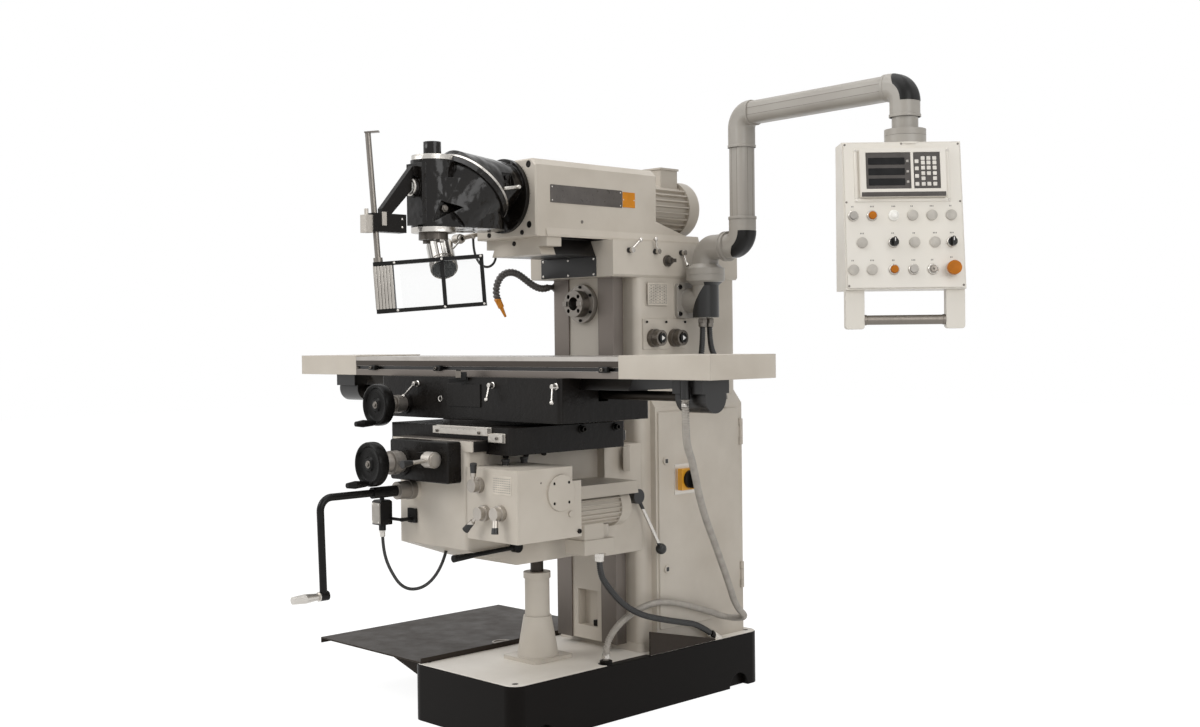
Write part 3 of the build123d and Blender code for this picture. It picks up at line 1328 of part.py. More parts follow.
# Sheet metal covers over both table ends, open below and towards the table
with BuildPart() as table_end_covers:
    for side in (-1, 1):
        inner = side * (table_half_length + slide_gap)
        outer = side * (table_half_length + end_cover_reach)
        slab(sorted((inner, outer)), table_y, (table_bottom, end_cover_top))
        table_hollow = (table_front + sheet, table_rear - sheet)
        hollow_x = sorted((inner + side * sheet, outer - side * sheet))
        hollow_z = (table_bottom - 1, end_cover_top - sheet)
        slab(hollow_x, table_hollow, hollow_z, Mode.SUBTRACT)
        # The wall against the table's end stops above the table's tongue
        tongue_x = sorted((inner - side, inner + side * sheet))
        tongue_z = (table_bottom - 1, table_bottom + table_tongue + slide_gap)
        slab(tongue_x, table_hollow, tongue_z, Mode.SUBTRACT)
save(table_end_covers, "table_end_covers")

with BuildPart() as table_screw:
    screw_reach = table_bracket_x + table_bracket_length - 14
    rod((-screw_reach, swivel_y, table_screw_z), (screw_reach, swivel_y, table_screw_z), table_screw_radius)
save(table_screw, "table_screw")

# Swing arm: turning ring, two elbows, post, beam and the pendant's neck
with BuildPart() as swing_arm:
    def link_point(reach, z):
        return arm_axis + Vector(reach, 0, z)

    def arm_point(reach, z):
        return arm_post + arm_dir * reach + Vector(0, 0, z)

    def arm_run(points, width, corner, bend):
        # A rounded-square section swept along a bent or straight line in the arm's plane.
        with BuildLine() as line:
            if bend:
                FilletPolyline(*points, radius=bend)
            else:
                Line(*points)
        wire = line.wires()[0]
        side = Vector(0, 0, 1).cross(arm_dir)
        with BuildSketch(Plane(origin=wire @ 0, x_dir=side, z_dir=wire % 0)) as section:
            RectangleRounded(width, width, corner)
        return sweep(section.sketch, path=wire, mode=Mode.PRIVATE)

    rod(link_point(0, arm_ring_split - 29), link_point(0, arm_ring_split + 1), 30)
    rod(link_point(0, arm_ring_split + slide_gap), link_point(0, arm_ring_top), arm_ring_radius)
    taper(link_point(0, arm_ring_top), link_point(0, arm_ring_top + 14), arm_ring_radius - 4, 44)
    cast = arm_section + 8
    bend = 46
    foot = [link_point(0, arm_ring_top), link_point(0, arm_link_z), link_point(92, arm_link_z)]
    add(arm_run(foot, cast, 30, bend))
    rod(link_point(86, arm_link_z), link_point(106, arm_link_z), 47)
    lower_end = arm_link_z + 92
    rise = [
        link_point(104, arm_link_z), link_point(arm_offset, arm_link_z), link_point(arm_offset, lower_end)
    ]
    add(arm_run(rise, cast, 30, bend))
    upper_start = arm_beam_z - 108
    add(
        arm_run([arm_point(0, lower_end - 8), arm_point(0, upper_start + 8)], arm_section, arm_section_corner, 0)
    )
    beam_start = 56
    top = [arm_point(0, upper_start), arm_point(0, arm_beam_z), arm_point(beam_start, arm_beam_z)]
    add(arm_run(top, cast, 30, bend))
    beam_end = arm_reach - 60
    beam = [arm_point(beam_start - 8, arm_beam_z), arm_point(beam_end + 8, arm_beam_z)]
    add(arm_run(beam, arm_section, arm_section_corner, 0))
    neck_top = arm_beam_z - 92
    drop = [
        arm_point(beam_end, arm_beam_z), arm_point(arm_reach, arm_beam_z), arm_point(arm_reach, neck_top)
    ]
    add(arm_run(drop, cast, 30, bend))
    neck_flange = pendant_top + 2 * pendant_flange + 4
    rod(arm_point(arm_reach, neck_top + 4), arm_point(arm_reach, neck_flange), 38)
    neck_split = pendant_top + pendant_flange + 4
    rod(
        arm_point(arm_reach, neck_flange), arm_point(arm_reach, neck_split + slide_gap),
        pendant_flange_radius
    )
    rod(arm_point(arm_reach, neck_split - 24), arm_point(arm_reach, neck_flange + 1), 24)
save(swing_arm, "swing_arm")

# Pendant: wedge-shaped box with a screwed front panel, readout box, blank plugs, bezels and a grab handle
knob_row = 216.0
row_pitch = 78.0
top_row = [-144.0, -90.0, -29.0, 25.0, 80.0, 135.0]
middle_row = [-121.0, -32.0, 28.0, 86.0, 134.0]
bottom_row = [-148.0, -95.0, -33.0, 22.0, 77.0, 132.0]
pushes = [(top_row[0], -knob_row), (top_row[1], -knob_row)]
pushes += [(bottom_row[2], -knob_row - 2 * row_pitch), (bottom_row[3], -knob_row - 2 * row_pitch)]
selectors = [(middle_row[1], -knob_row - row_pitch), (middle_row[4], -knob_row - row_pitch)]
stop_place = (bottom_row[5], -knob_row - 2 * row_pitch)
plugs = [(x, -knob_row) for x in top_row[2:]]
plugs += [(x, -knob_row - row_pitch) for x in (middle_row[0], middle_row[2], middle_row[3])]
plugs += [(x, -knob_row - 2 * row_pitch) for x in bottom_row[:2]]
key_place = (bottom_row[4], -knob_row - 2 * row_pitch)

with BuildPart() as pendant_housing:
    panel_length = pendant_height / math.cos(math.radians(pendant_tilt))
    outward = pendant_height * math.tan(math.radians(pendant_tilt))
    back = -pendant_depth
    side_plane = Plane(
        origin=panel_origin - yaw_right * (pendant_width / 2), x_dir=yaw_front, z_dir=yaw_right
    )
    with BuildSketch(Plane(origin=side_plane.origin, x_dir=yaw_front, z_dir=yaw_right * -1)) as wedge:
        with BuildLine():
            Polyline((0, 0), (outward, -pendant_height), (back, -pendant_height), (back, 0), close=True)
        make_face()
    extrude(amount=-pendant_width)
    # Closed hollow behind the controls
    wall = 6
    with BuildSketch(
        Plane(origin=side_plane.origin + yaw_right * wall, x_dir=yaw_front, z_dir=yaw_right * -1)
    ):
        with BuildLine():
            Polyline(
                (-36, -40),
                (outward - 44, wall - pendant_height),
                (back + wall, wall - pendant_height),
                (back + wall, -40),
                close=True,
            )
        make_face()
    extrude(amount=2 * wall - pendant_width, mode=Mode.SUBTRACT)
    # Front panel with a shadow gap
    with BuildSketch(panel):
        with Locations((0, -panel_length / 2)):
            RectangleRounded(pendant_width - 8, panel_length - 8, 5)
    extrude(amount=panel_thickness)
    # Readout box with its display and keypad recesses
    with BuildSketch(panel.offset(panel_thickness)):
        with Locations((0, -93)):
            RectangleRounded(246, 142, 4)
    extrude(amount=14)
    with BuildSketch(panel.offset(panel_thickness + 14)):
        with Locations((-42, -88)):
            Rectangle(128, 106)
        with Locations((68, -88)):
            Rectangle(76, 106)
    extrude(amount=-3, mode=Mode.SUBTRACT)
    for x, y in plugs:
        rod(
            along(panel, x, y, panel_thickness), along(panel, x, y, panel_thickness + bezel_height),
            bezel_radius
        )
    for x, y in pushes + selectors + [key_place]:
        bezel_top = along(panel, x, y, panel_thickness + bezel_height)
        rod(along(panel, x, y, panel_thickness), bezel_top, bezel_radius)
        rod(along(panel, x, y, -20), along(panel, x, y, 30), button_radius + running_fit, Mode.SUBTRACT)
    rod(along(panel, *key_place, -20), along(panel, *key_place, 12), button_radius)
    rod(along(panel, *stop_place, panel_thickness), along(panel, *stop_place, panel_thickness + 3), 22)
    rod(
        along(panel, *stop_place, -26), along(panel, *stop_place, 30), button_radius + running_fit,
        Mode.SUBTRACT
    )
    # Grab handle on two hanging brackets
    handle_y = pendant_top - pendant_height - handle_drop + 26
    bracket_out = outward - 14
    for side in (-1, 1):
        x = side * (pendant_width / 2 - handle_bracket / 2)
        hang = panel_axis + yaw_front * (pendant_depth / 2 + bracket_out - 14) + yaw_right * x
        face_plane = Plane(
            origin=hang + Vector(0, 0, pendant_top - pendant_height), x_dir=yaw_right, z_dir=yaw_front
        )
        with BuildSketch(face_plane):
            with Locations((0, -handle_drop / 2 + 10)):
                RectangleRounded(handle_bracket, handle_drop + 20, 9)
        extrude(amount=13, both=True)
    bar_centre = panel_axis + yaw_front * (pendant_depth / 2 + bracket_out - 14) + Vector(0, 0, handle_y)
    bar_half = pendant_width / 2 - 20
    rod(bar_centre - yaw_right * bar_half, bar_centre + yaw_right * bar_half, handle_radius)
    # Turning flange on the top, round the arm's pin
    flange_foot = pendant_axis + Vector(0, 0, pendant_top)
    rod(
        flange_foot - Vector(0, 0, 6), flange_foot + Vector(0, 0, pendant_flange + 4),
        pendant_flange_radius
    )
    pin_fit = 24 + running_fit
    rod(
        flange_foot - Vector(0, 0, 30), flange_foot + Vector(0, 0, pendant_flange + 5), pin_fit,
        Mode.SUBTRACT
    )
save(pendant_housing, "pendant_housing")

with BuildPart() as emergency_stop:
    seat = panel_thickness + 3
    rod(along(panel, *stop_place, -14), along(panel, *stop_place, seat + 12), button_radius)
    taper(along(panel, *stop_place, seat + 7), along(panel, *stop_place, seat + 14), 15, 20)
    rod(along(panel, *stop_place, seat + 14), along(panel, *stop_place, seat + 26), 20)
save(emergency_stop, "emergency_stop")

for side, (x, y) in zip(("left", "right"), selectors):
    with BuildPart() as selector:
        seat = panel_thickness + bezel_height
        rod(along(panel, x, y, -14), along(panel, x, y, seat + 4), button_radius)
        with BuildSketch(panel.offset(seat + slide_gap)):
            with Locations((x, y)):
                Circle(13)
        extrude(amount=8)
        with BuildSketch(panel.offset(seat + 8)):
            with Locations((x, y)):
                RectangleRounded(9, 25, 4)
        extrude(amount=13)
    save(selector, f"selector_{side}")

for number, (x, y) in enumerate(pushes, 1):
    with BuildPart() as push_button:
        seat = panel_thickness + bezel_height
        rod(along(panel, x, y, -12), along(panel, x, y, seat + 6), button_radius)
    save(push_button, f"push_button_{number}")

# Flexible lines
drain_start = (table_drain_x, table_drain_y, table_drain_low)
drain_points = [
    drain_start,
    (table_drain_x, table_drain_y, table_drain_low - 72),
    (778, -352, 905),
    (690, -232, 852),
    (580, -73, 700),
    (470, 129, 529),
    (410, 251, 405),
    (372, 330, 315),
    (352, 415, 262),
    (248, 425, 248),
    (246, 330, 286),
    (240, 150, 342),
    (236, 50, 346),
    (233, -45, 318),
    (229, -98, 284),
    (drain_x, drain_y, drain_ring_top + 48),
    (drain_x, drain_y, drain_ring_top),
]
drain_bore = drain_hose_radius - 2 * rib_depth
drain_hose = ribbed(
    "drain_hose", drain_points, drain_hose_radius, rib_depth, drain_hose_ribs, drain_bore, (1, 0.2, 0)
)
save(drain_hose, "drain_hose")

motor_points = [
    conduit_exit,
    conduit_exit - Vector(0, 0, 50),
    (291, -188, 440),
    (280, -113, 374),
    (268, -16, 323),
    (262, 93, 292),
    (256, 190, 268),
    (246, 282, 246),
    conduit_foot,
]
conduit_bore = conduit_radius - 2 * rib_depth
motor_conduit = ribbed(
    "motor_conduit", motor_points, conduit_radius, rib_depth, conduit_ribs, conduit_bore, (1, 0, 0)
)
save(motor_conduit, "motor_conduit")

outlet = arm_outlet - 12
first_points = [
    (arm_x, arm_y - 17, outlet),
    (arm_x, arm_y - 17, 1190),
    (244, 304, 1110),
    (cabinet_right - 1, 320, 1062),
    (cabinet_right - 1, 320, 1015),
]
second_points = [
    (arm_x, arm_y + 17, outlet),
    (arm_x, arm_y + 17, 1185),
    (255, 380, 1130),
    (226, 435, 1090),
    (cabinet_right - 1, 462, 1050),
    (cabinet_right - 1, 462, 1008),
]
first = ribbed(
    "first_conduit", first_points, conduit_radius, rib_depth, conduit_ribs // 3, conduit_bore, (0, 1, 0)
)
second = ribbed(
    "second_conduit", second_points, conduit_radius, rib_depth, conduit_ribs // 3, conduit_bore, (1, 0, 0)
)
with BuildPart() as pendant_conduits:
    add(first.part)
    add(second.part)
save(pendant_conduits, "pendant_conduits")

slope = Vector(0, knee_slope_rear - knee_front, knee_bottom - knee_front_bottom)
cable_up = Vector(1, 0, 0).cross(slope).normalized()
cable_end = Vector(-55, knee_front, knee_front_bottom) + slope * 0.5
switch_points = [
    (-165, knee_front - 65, 628),
    (-165, knee_front - 65, 575),
    (-146, -698, 512),
    (-108, -672, 446),
    (-66, -620, 450),
    cable_end - cable_up * 52,
    cable_end,
]
switch_cable = tube("switch_cable", switch_points, cable_radius)
save(switch_cable, "switch_cable")

lamp_points = [
    (-133, ram_front + 73, ram_bottom - 29),
    (-133, ram_front + 73, 1468),
    (-138, -289, 1443),
    (-150, -318, 1452),
    (-159, -337, 1496),
    (-159, -337, 1538),
]
lamp_cable = tube("lamp_cable", lamp_points, lamp_cable_radius)
save(lamp_cable, "lamp_cable")
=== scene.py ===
import math

import bpy
from mathutils import Matrix, Vector


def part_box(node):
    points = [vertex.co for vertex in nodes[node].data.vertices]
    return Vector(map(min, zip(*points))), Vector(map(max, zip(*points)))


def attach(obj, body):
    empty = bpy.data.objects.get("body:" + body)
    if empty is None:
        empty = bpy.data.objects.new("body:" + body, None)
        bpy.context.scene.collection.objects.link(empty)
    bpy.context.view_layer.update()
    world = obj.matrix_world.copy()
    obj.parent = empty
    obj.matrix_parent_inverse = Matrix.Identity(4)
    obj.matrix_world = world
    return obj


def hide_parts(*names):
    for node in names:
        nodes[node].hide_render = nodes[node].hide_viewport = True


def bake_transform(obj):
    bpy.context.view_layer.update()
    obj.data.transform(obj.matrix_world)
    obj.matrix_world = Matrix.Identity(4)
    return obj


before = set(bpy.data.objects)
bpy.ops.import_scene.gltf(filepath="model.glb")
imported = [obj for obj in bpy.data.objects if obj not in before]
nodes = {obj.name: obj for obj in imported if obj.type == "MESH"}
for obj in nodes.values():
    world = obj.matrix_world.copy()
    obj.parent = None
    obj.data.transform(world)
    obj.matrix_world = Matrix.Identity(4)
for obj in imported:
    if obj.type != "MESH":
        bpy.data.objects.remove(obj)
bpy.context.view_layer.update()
print("frame loaded:", len(nodes), "nodes")

# the machine seen by its operator, who stands at -y
toRight, toLeft, toBack, toFront = (1, 0, 0), (-1, 0, 0), (0, 1, 0), (0, -1, 0)
upward, downward = (0, 0, 1), (0, 0, -1)
bothWays = (-1, 1)
anywhere = (None, None, None)


def mm(*values):
    # sizes and places are written in millimetres; None is an open side
    return tuple(None if v is None else v / 1000 for v in values)


def linear(code):
    # a screen colour such as "c8c0b5" as linear values
    parts = [int(code[i:i + 2], 16) / 255 for i in (0, 2, 4)]
    return tuple(p / 12.92 if p <= 0.04045 else ((p + 0.055) / 1.055) ** 2.4 for p in parts) + (1.0,)


# Shader sums written as Python expressions.


class Val:
    def __init__(self, maker, socket):
        self.maker = maker
        self.socket = socket

    def op(self, kind, other, swap=False):
        first, second = (other, self) if swap else (self, other)
        return self.maker.node("ShaderNodeMath", {"operation": kind}, {0: first, 1: second})

    def __add__(self, other):
        return self.op("ADD", other)

    def __radd__(self, other):
        return self.op("ADD", other)

    def __sub__(self, other):
        return self.op("SUBTRACT", other)

    def __rsub__(self, other):
        return self.op("SUBTRACT", other, True)

    def __mul__(self, other):
        return self.op("MULTIPLY", other)

    def __rmul__(self, other):
        return self.op("MULTIPLY", other)

    def __gt__(self, other):
        return self.op("GREATER_THAN", other)

    def __lt__(self, other):
        return self.op("LESS_THAN", other)


class Nodes:
    def __init__(self, tree):
        self.tree = tree

    def node(self, kind, settings=None, inputs=None, out=0):
        made = self.tree.nodes.new(kind)
        for key, value in (settings or {}).items():
            setattr(made, key, value)
        for key, value in (inputs or {}).items():
            self.feed(made.inputs[key], value)
        return Val(self, made.outputs[out])

    def feed(self, socket, value):
        if isinstance(value, Val):
            self.tree.links.new(value.socket, socket)
        else:
            socket.default_value = value

    def ramp(self, value, low, high, toLow=0.0, toHigh=1.0):
        return self.node("ShaderNodeMapRange", {"clamp": True}, {0: value, 1: low, 2: high, 3: toLow, 4: toHigh})

    def seen(self):
        # 1 for what the camera sees, also through the clear sheet and in a gloss
        share = self.node("ShaderNodeLightPath", out="Is Camera Ray")
        rays = share.socket.node.outputs
        for ray in ("Is Transmission Ray", "Is Glossy Ray"):
            share = self.node("ShaderNodeMath", {"operation": "MAXIMUM"}, {0: share, 1: Val(self, rays[ray])})
        return share


class Finish(Nodes):
    def __init__(self, name):
        self.material = bpy.data.materials.new(name)
        self.material.use_nodes = True
        super().__init__(self.material.node_tree)
        self.shader = self.tree.nodes["Principled BSDF"]
        self.coords = None
        self.axes = None

    def place(self):
        if self.coords is None:
            self.coords = self.node("ShaderNodeTexCoord", out="Object")
        return self.coords

    def xyz(self):
        if self.axes is None:
            split = self.node("ShaderNodeSeparateXYZ", None, {0: self.place()})
            self.axes = tuple(Val(self, o) for o in split.socket.node.outputs)
        return self.axes

    def along(self, direction):
        x, y, z = self.xyz()
        return x * direction[0] + y * direction[1] + z * direction[2]

    def noise(self, scale, detail=3.0, roughness=0.55, stretch=(1, 1, 1)):
        where = self.node("ShaderNodeMapping", None, {"Vector": self.place(), "Scale": stretch})
        return self.node("ShaderNodeTexNoise", None,
                         {"Vector": where, "Scale": scale, "Detail": detail, "Roughness": roughness})

    def mix(self, share, first, second):
        return self.node("ShaderNodeMix", {"data_type": "RGBA"}, {0: share, 6: first, 7: second}, out=2)

    def blend(self, share, first, second):
        return self.node("ShaderNodeMix", {"data_type": "FLOAT"}, {0: share, 2: first, 3: second})

    def bump(self, height, strength, distance, normal):
        return self.node("ShaderNodeBump", None, {"Height": height, "Strength": strength, "Distance": distance,
                                                  "Normal": normal})

    def soften(self, radius):
        return self.node("ShaderNodeBevel", {"samples": 4}, {"Radius": radius})

    def wear(self, soft):
        # where the softened normal leaves the flat one, an edge is near
        flat = self.node("ShaderNodeNewGeometry", out="Normal")
        dot = self.node("ShaderNodeVectorMath", {"operation": "DOT_PRODUCT"}, {0: flat, 1: soft}, out="Value")
        return self.ramp(1 - dot, 0.02, 0.30)

    def inside(self, low, high):
        mask = None
        for value, a, b in zip(self.xyz(), low, high):
            for part in ([value > a] if a is not None else []) + ([value < b] if b is not None else []):
                mask = part if mask is None else mask * part
        return mask

    def set(self, **sockets):
        names = {"color": "Base Color", "metal": "Metallic", "rough": "Roughness", "normal": "Normal",
                 "coat": "Coat Weight", "coatRough": "Coat Roughness", "alpha": "Alpha", "ior": "IOR",
                 "spec": "Specular IOR Level"}
        for key, value in sockets.items():
            self.feed(self.shader.inputs[names[key]], value)
        return self.material


# Finishes, all from nodes on Object coordinates.

paint = {
    "cream": "cbc3b7", "creamShade": "b8afa2", "creamWorn": "8a847c", "pendant": "d9d4cb", "black": "110e0c",
    "blackShade": "171411", "blackDust": "211d1a", "blackWorn": "5a5753", "tray": "2b2926", "steel": "c3bfb9",
    "steelDark": "86817b", "alloy": "b2aca4", "alloyDark": "938d86", "plastic": "121110", "orange": "d2841a",
    "button": "a9620e", "hose": "979189", "conduit": "151413", "iron": "746d67", "scale": "c6c1b9",
    "yellow": "d99a26", "tableFront": "48423d", "tableFoot": "756e68", "silver": "a09b93",
    "silverShade": "958f87",
}
# colour, metal and roughness of places that differ from the rest of their node
lookFor = {
    "black": ("black", 0.0, 0.32), "steel": ("steel", 1.0, 0.30), "iron": ("iron", 0.9, 0.42),
    "alloy": ("alloy", 0.85, 0.38), "cream": ("cream", 0.0, 0.42), "orange": ("orange", 0.0, 0.35),
    "plastic": ("plastic", 0.0, 0.42), "tray": ("tray", 0.0, 0.45), "scale": ("scale", 0.8, 0.40),
    "yellow": ("yellow", 0.0, 0.34), "dial": ("alloyDark", 0.75, 0.46), "silver": ("silver", 0.0, 0.36),
    "tableFront": ("tableFront", 0.9, 0.40), "tableFoot": ("tableFoot", 0.9, 0.40),
}
lampAt = {"centre": (-173, -455, 1473), "axis": (0.6184, -0.3192, -0.7181), "across": (0.586, 0.797, 0.150),
          "knuckle": (-173, -388, 1535)}


def zone(look, low=anywhere, high=anywhere, beyond=None):
    # a box with a look of its own; beyond keeps the side of a slanting plane that its direction points to
    return {"look": look, "low": mm(*low), "high": mm(*high), "beyond": beyond}


def regional(made, base, zones):
    color, metal, rough = base
    for area in zones:
        code, areaMetal, areaRough = lookFor[area["look"]]
        mask = made.inside(area["low"], area["high"])
        if area["beyond"]:
            direction, level = area["beyond"]
            mask = mask * (made.along(direction) > level / 1000)
        color = made.mix(mask, color, linear(paint[code]))
        metal = made.blend(mask, metal, areaMetal)
        rough = made.blend(mask, rough, areaRough)
    return color, metal, rough


def enamel(name, code, shade, zones=(), rough=0.40, peel=0.10, cast=0.0, dust=None, spec=0.5, wave=0.0):
    # brushed-out paint: slow clouds of shade, worn edges, orange peel, and a rough casting below it
    made = Finish(name)
    soft = made.soften(0.0022)
    cloud = made.noise(3.1, 4.0)
    color = made.mix(made.ramp(cloud, 0.35, 0.70), linear(code), linear(shade))
    if dust:
        color = made.mix(made.ramp(made.noise(9.0, 6.0, 0.65), 0.55, 0.82, 0.0, 0.4), color, linear(dust))
    worn = made.wear(soft) * made.ramp(made.noise(60.0, 3.0), 0.48, 0.62)
    color = made.mix(worn * 0.35, color, linear(paint["blackWorn" if cast else "creamWorn"]))
    gloss = made.ramp(made.noise(14.0, 4.0), 0.3, 0.75, rough - 0.05, rough + 0.10)
    color, metal, gloss = regional(made, (color, 0.0, gloss), zones)
    normal = made.bump(made.noise(420.0, 2.0), peel, 0.0012, soft)
    if cast:
        normal = made.bump(made.noise(48.0, 4.0, 0.6), cast, 0.004, normal)
    if wave:
        normal = made.bump(made.noise(15.0, 2.0, 0.5), wave, 0.02, normal)
    return made.set(color=color, metal=metal, rough=gloss, normal=normal, spec=spec)


def creamEnamel(name, zones=()):
    return enamel(name, paint["cream"], paint["creamShade"], zones)


def blackEnamel(name, skin, zones=()):
    return enamel(name, paint["black"], paint["blackShade"], zones, **skin)


def silverPaint(name, zones=()):
    return enamel(name, paint["silver"], paint["silverShade"], zones, rough=0.36, peel=0.06)


upStreaks = (6, 6, 1)


def machined(name, code, dark, rough=0.30, zones=(), streaks=upStreaks):
    # ground or turned metal: fine streaks along one direction and a few stains
    made = Finish(name)
    soft = made.soften(0.0012)
    streak = made.noise(30.0, 3.0, 0.6, streaks)
    stain = made.ramp(made.noise(7.0, 5.0, 0.6), 0.45, 0.80)
    color = made.mix(stain * 0.55, linear(code), linear(dark))
    gloss = made.ramp(streak, 0.30, 0.70, rough - 0.07, rough + 0.12)
    color, metal, gloss = regional(made, (color, 1.0, gloss), zones)
    normal = made.bump(streak, 0.10, 0.0006, soft)
    return made.set(color=color, metal=metal, rough=gloss, normal=normal)


def brightSteel(name, zones=()):
    return machined(name, paint["steel"], paint["steelDark"], 0.26, zones)


def satinLever(name, zones):
    return machined(name, paint["alloy"], paint["alloyDark"], 0.40, zones)


def moulded(name, code, rough=0.42, grain=0.12, zones=(), coat=0.0, spec=0.5):
    # plastic or rubber with a fine grain and a little unevenness of tone
    made = Finish(name)
    soft = made.soften(0.0010)
    tone = made.ramp(made.noise(25.0, 4.0), 0.35, 0.75)
    light = tuple(min(1.0, c * 1.35 + 0.004) for c in linear(code)[:3]) + (1.0,)
    color = made.mix(tone, linear(code), light)
    gloss = made.ramp(made.noise(70.0, 3.0), 0.35, 0.7, rough - 0.05, rough + 0.08)
    color, metal, gloss = regional(made, (color, 0.0, gloss), zones)
    normal = made.bump(made.noise(900.0, 2.0), grain, 0.0005, soft)
    return made.set(color=color, metal=metal, rough=gloss, normal=normal, coat=coat, coatRough=0.12, spec=spec)


def glossWheel(name, zones):
    return moulded(name, paint["plastic"], 0.22, 0.05, zones, coat=0.04, spec=0.12)


def lampWithPaintedReflections(name, bright, dark):
    # turned lamp shade with painted reflections: bright and dark bands along its axis, painted into the colour,
    # stand in for the glints of a polished cylinder
    made = Finish(name)
    around = made.along(lampAt["across"])
    bands = made.node("ShaderNodeTexNoise", {"noise_dimensions": "1D"},
                      {"W": around, "Scale": 70.0, "Detail": 2.0})
    color = made.mix(made.ramp(bands, 0.40, 0.56), linear(dark), linear(bright))
    rough = made.ramp(made.noise(160.0, 3.0), 0.3, 0.7, 0.20, 0.34)
    return made.set(color=color, metal=1.0, rough=rough, normal=made.soften(0.0012))


def clearSheet(name, tint, rough=0.06):
    made = Finish(name)
    haze = made.ramp(made.noise(18.0, 4.0), 0.4, 0.8, rough, rough + 0.10)
    return made.set(color=linear(tint), rough=haze, alpha=0.04, ior=1.49)


blackGloss = {"rough": 0.13, "cast": 0.12, "spec": 0.30, "wave": 0.55}
blackCast = {"rough": 0.30, "cast": 0.35, "dust": paint["blackDust"], "spec": 0.17}
areas = {
    # ways, the strip between them, the way cover, the bearing ring, the plate of the speed knobs
    "column": [zone("iron", (-144, -2, 200), (144, 46.2, 1411)),
               zone("cream", (-71.1, 5.2, 200), (71.1, 46.2, 1410.5)),
               zone("black", (-144, -60, 1411.5), (121.5, -53.6, 1476)),
               zone("dial", (-66, -12.5, 1259), (66, 3, 1391)),
               zone("alloy", (197.5, 85, 1171), (260, 293, 1273))],
    # the main switch's plate and collar, two locks
    "door": [zone("scale", (218.8, 200, 686), (222.5, 306, 788)),
             zone("yellow", (222.2, 213, 699), (250, 293, 775)),
             zone("black", (218.8, 152.5, 795), (230, 165.5, 809)),
             zone("black", (218.8, 152.5, 437), (230, 165.5, 451))],
    # painted shade: the dovetail under the ram and the inside of the bolt holes of the front face are painted
    # black for the shade that falls there
    "ram": [zone("black", (-152, -229.8, 1470), (152, None, 1529.3)),
            zone("black", (100.5, -334.8, 1553), (123.5, -318, 1765)),
            zone("black", (-123.5, -334.8, 1553), (-100.5, -318, 1765))],
    # the sides of the ways and their ground top
    "knee": [zone("black", (168.5, -636, 879), (None, -2, 913)),
             zone("black", (None, -636, 879), (-168.5, -2, 913)),
             zone("iron", (None, None, 911.5), (None, None, 913.5))],
    "gearbox": [zone("black", (160, -560, 837.5), (250, -420, 900))],
    # the black foot, a dark strip of the top beside the drain, the drain's ring, the conduit's boss
    "base": [zone("black", (None, None, -10), (None, None, 178.5)),
             zone("tray", (226, -150, 178.4), (260, 50, 181.5)),
             zone("black", (190, -168, 180.5), (252, -96, 200)),
             zone("black", (243.5, 40, 180), (251.5, 370, 270))],
    "tray": [zone("dial", (-276, -204, 185.5), (-209.5, -132, 190))],
    "guard": [zone("alloy", high=(None, -852.1, None)),
              zone("alloy", (18.1, -830, 1540), (None, -800, 1592))],
    "head": [zone("steel", (-67, -700, 1750.2), (67, -586, 1765.5)),
             zone("steel", (-70, -700, 1530), (70, -553, 1548.2))],
    "saddle": [zone("scale", (-54, -600, 924), (207, -577.5, 960)),
               zone("scale", (205.5, -600, 906), (270, -577.5, 934))],
    # the dovetail, two ground bands of the front edge, and the groove of the trip dogs, painted black as painted
    # shade inside it
    "table": [zone("black", (None, None, 900), (None, None, 1094.5)),
              zone("tableFront", (None, None, 1126.5), (None, -471.2, 1144)),
              zone("tableFoot", (None, None, 1094.5), (None, -471.2, 1114.5)),
              zone("black", (None, -471.6, 1114.5), (None, -462.5, 1126.5))],
    # dials and shafts behind the wheels, the crank's steel grip
    "crossWheel": [zone("dial", (None, -789, None))],
    "tableWheel": [zone("dial", (None, -601, None))],
    "crank": [zone("dial", (None, -716, None)), zone("steel", high=(None, -992, 500))],
    # knobs and hubs of the levers
    "upLever": [zone("plastic", (None, None, 825))],
    "downLever": [zone("plastic", high=(None, None, 675))],
    "crossLever": [zone("plastic", high=(None, -783, None))],
    "ballLever": [zone("plastic", high=(None, None, 540)), zone("plastic", (None, None, 655))],
    "clampLever": [zone("plastic", (None, None, 1480), (211, None, 1508))],
    # the box under the arm's foot, the pendant's neck, the nozzle of the coolant hose
    "armFoot": [zone("plastic", (None, None, 1276), (None, None, 1393), ((1.0, 0.0, -0.62), -557))],
    "pendant": [zone("silver", (None, None, 1762.4))],
    "coolant": [zone("orange", high=(None, None, 1343.5))],
}
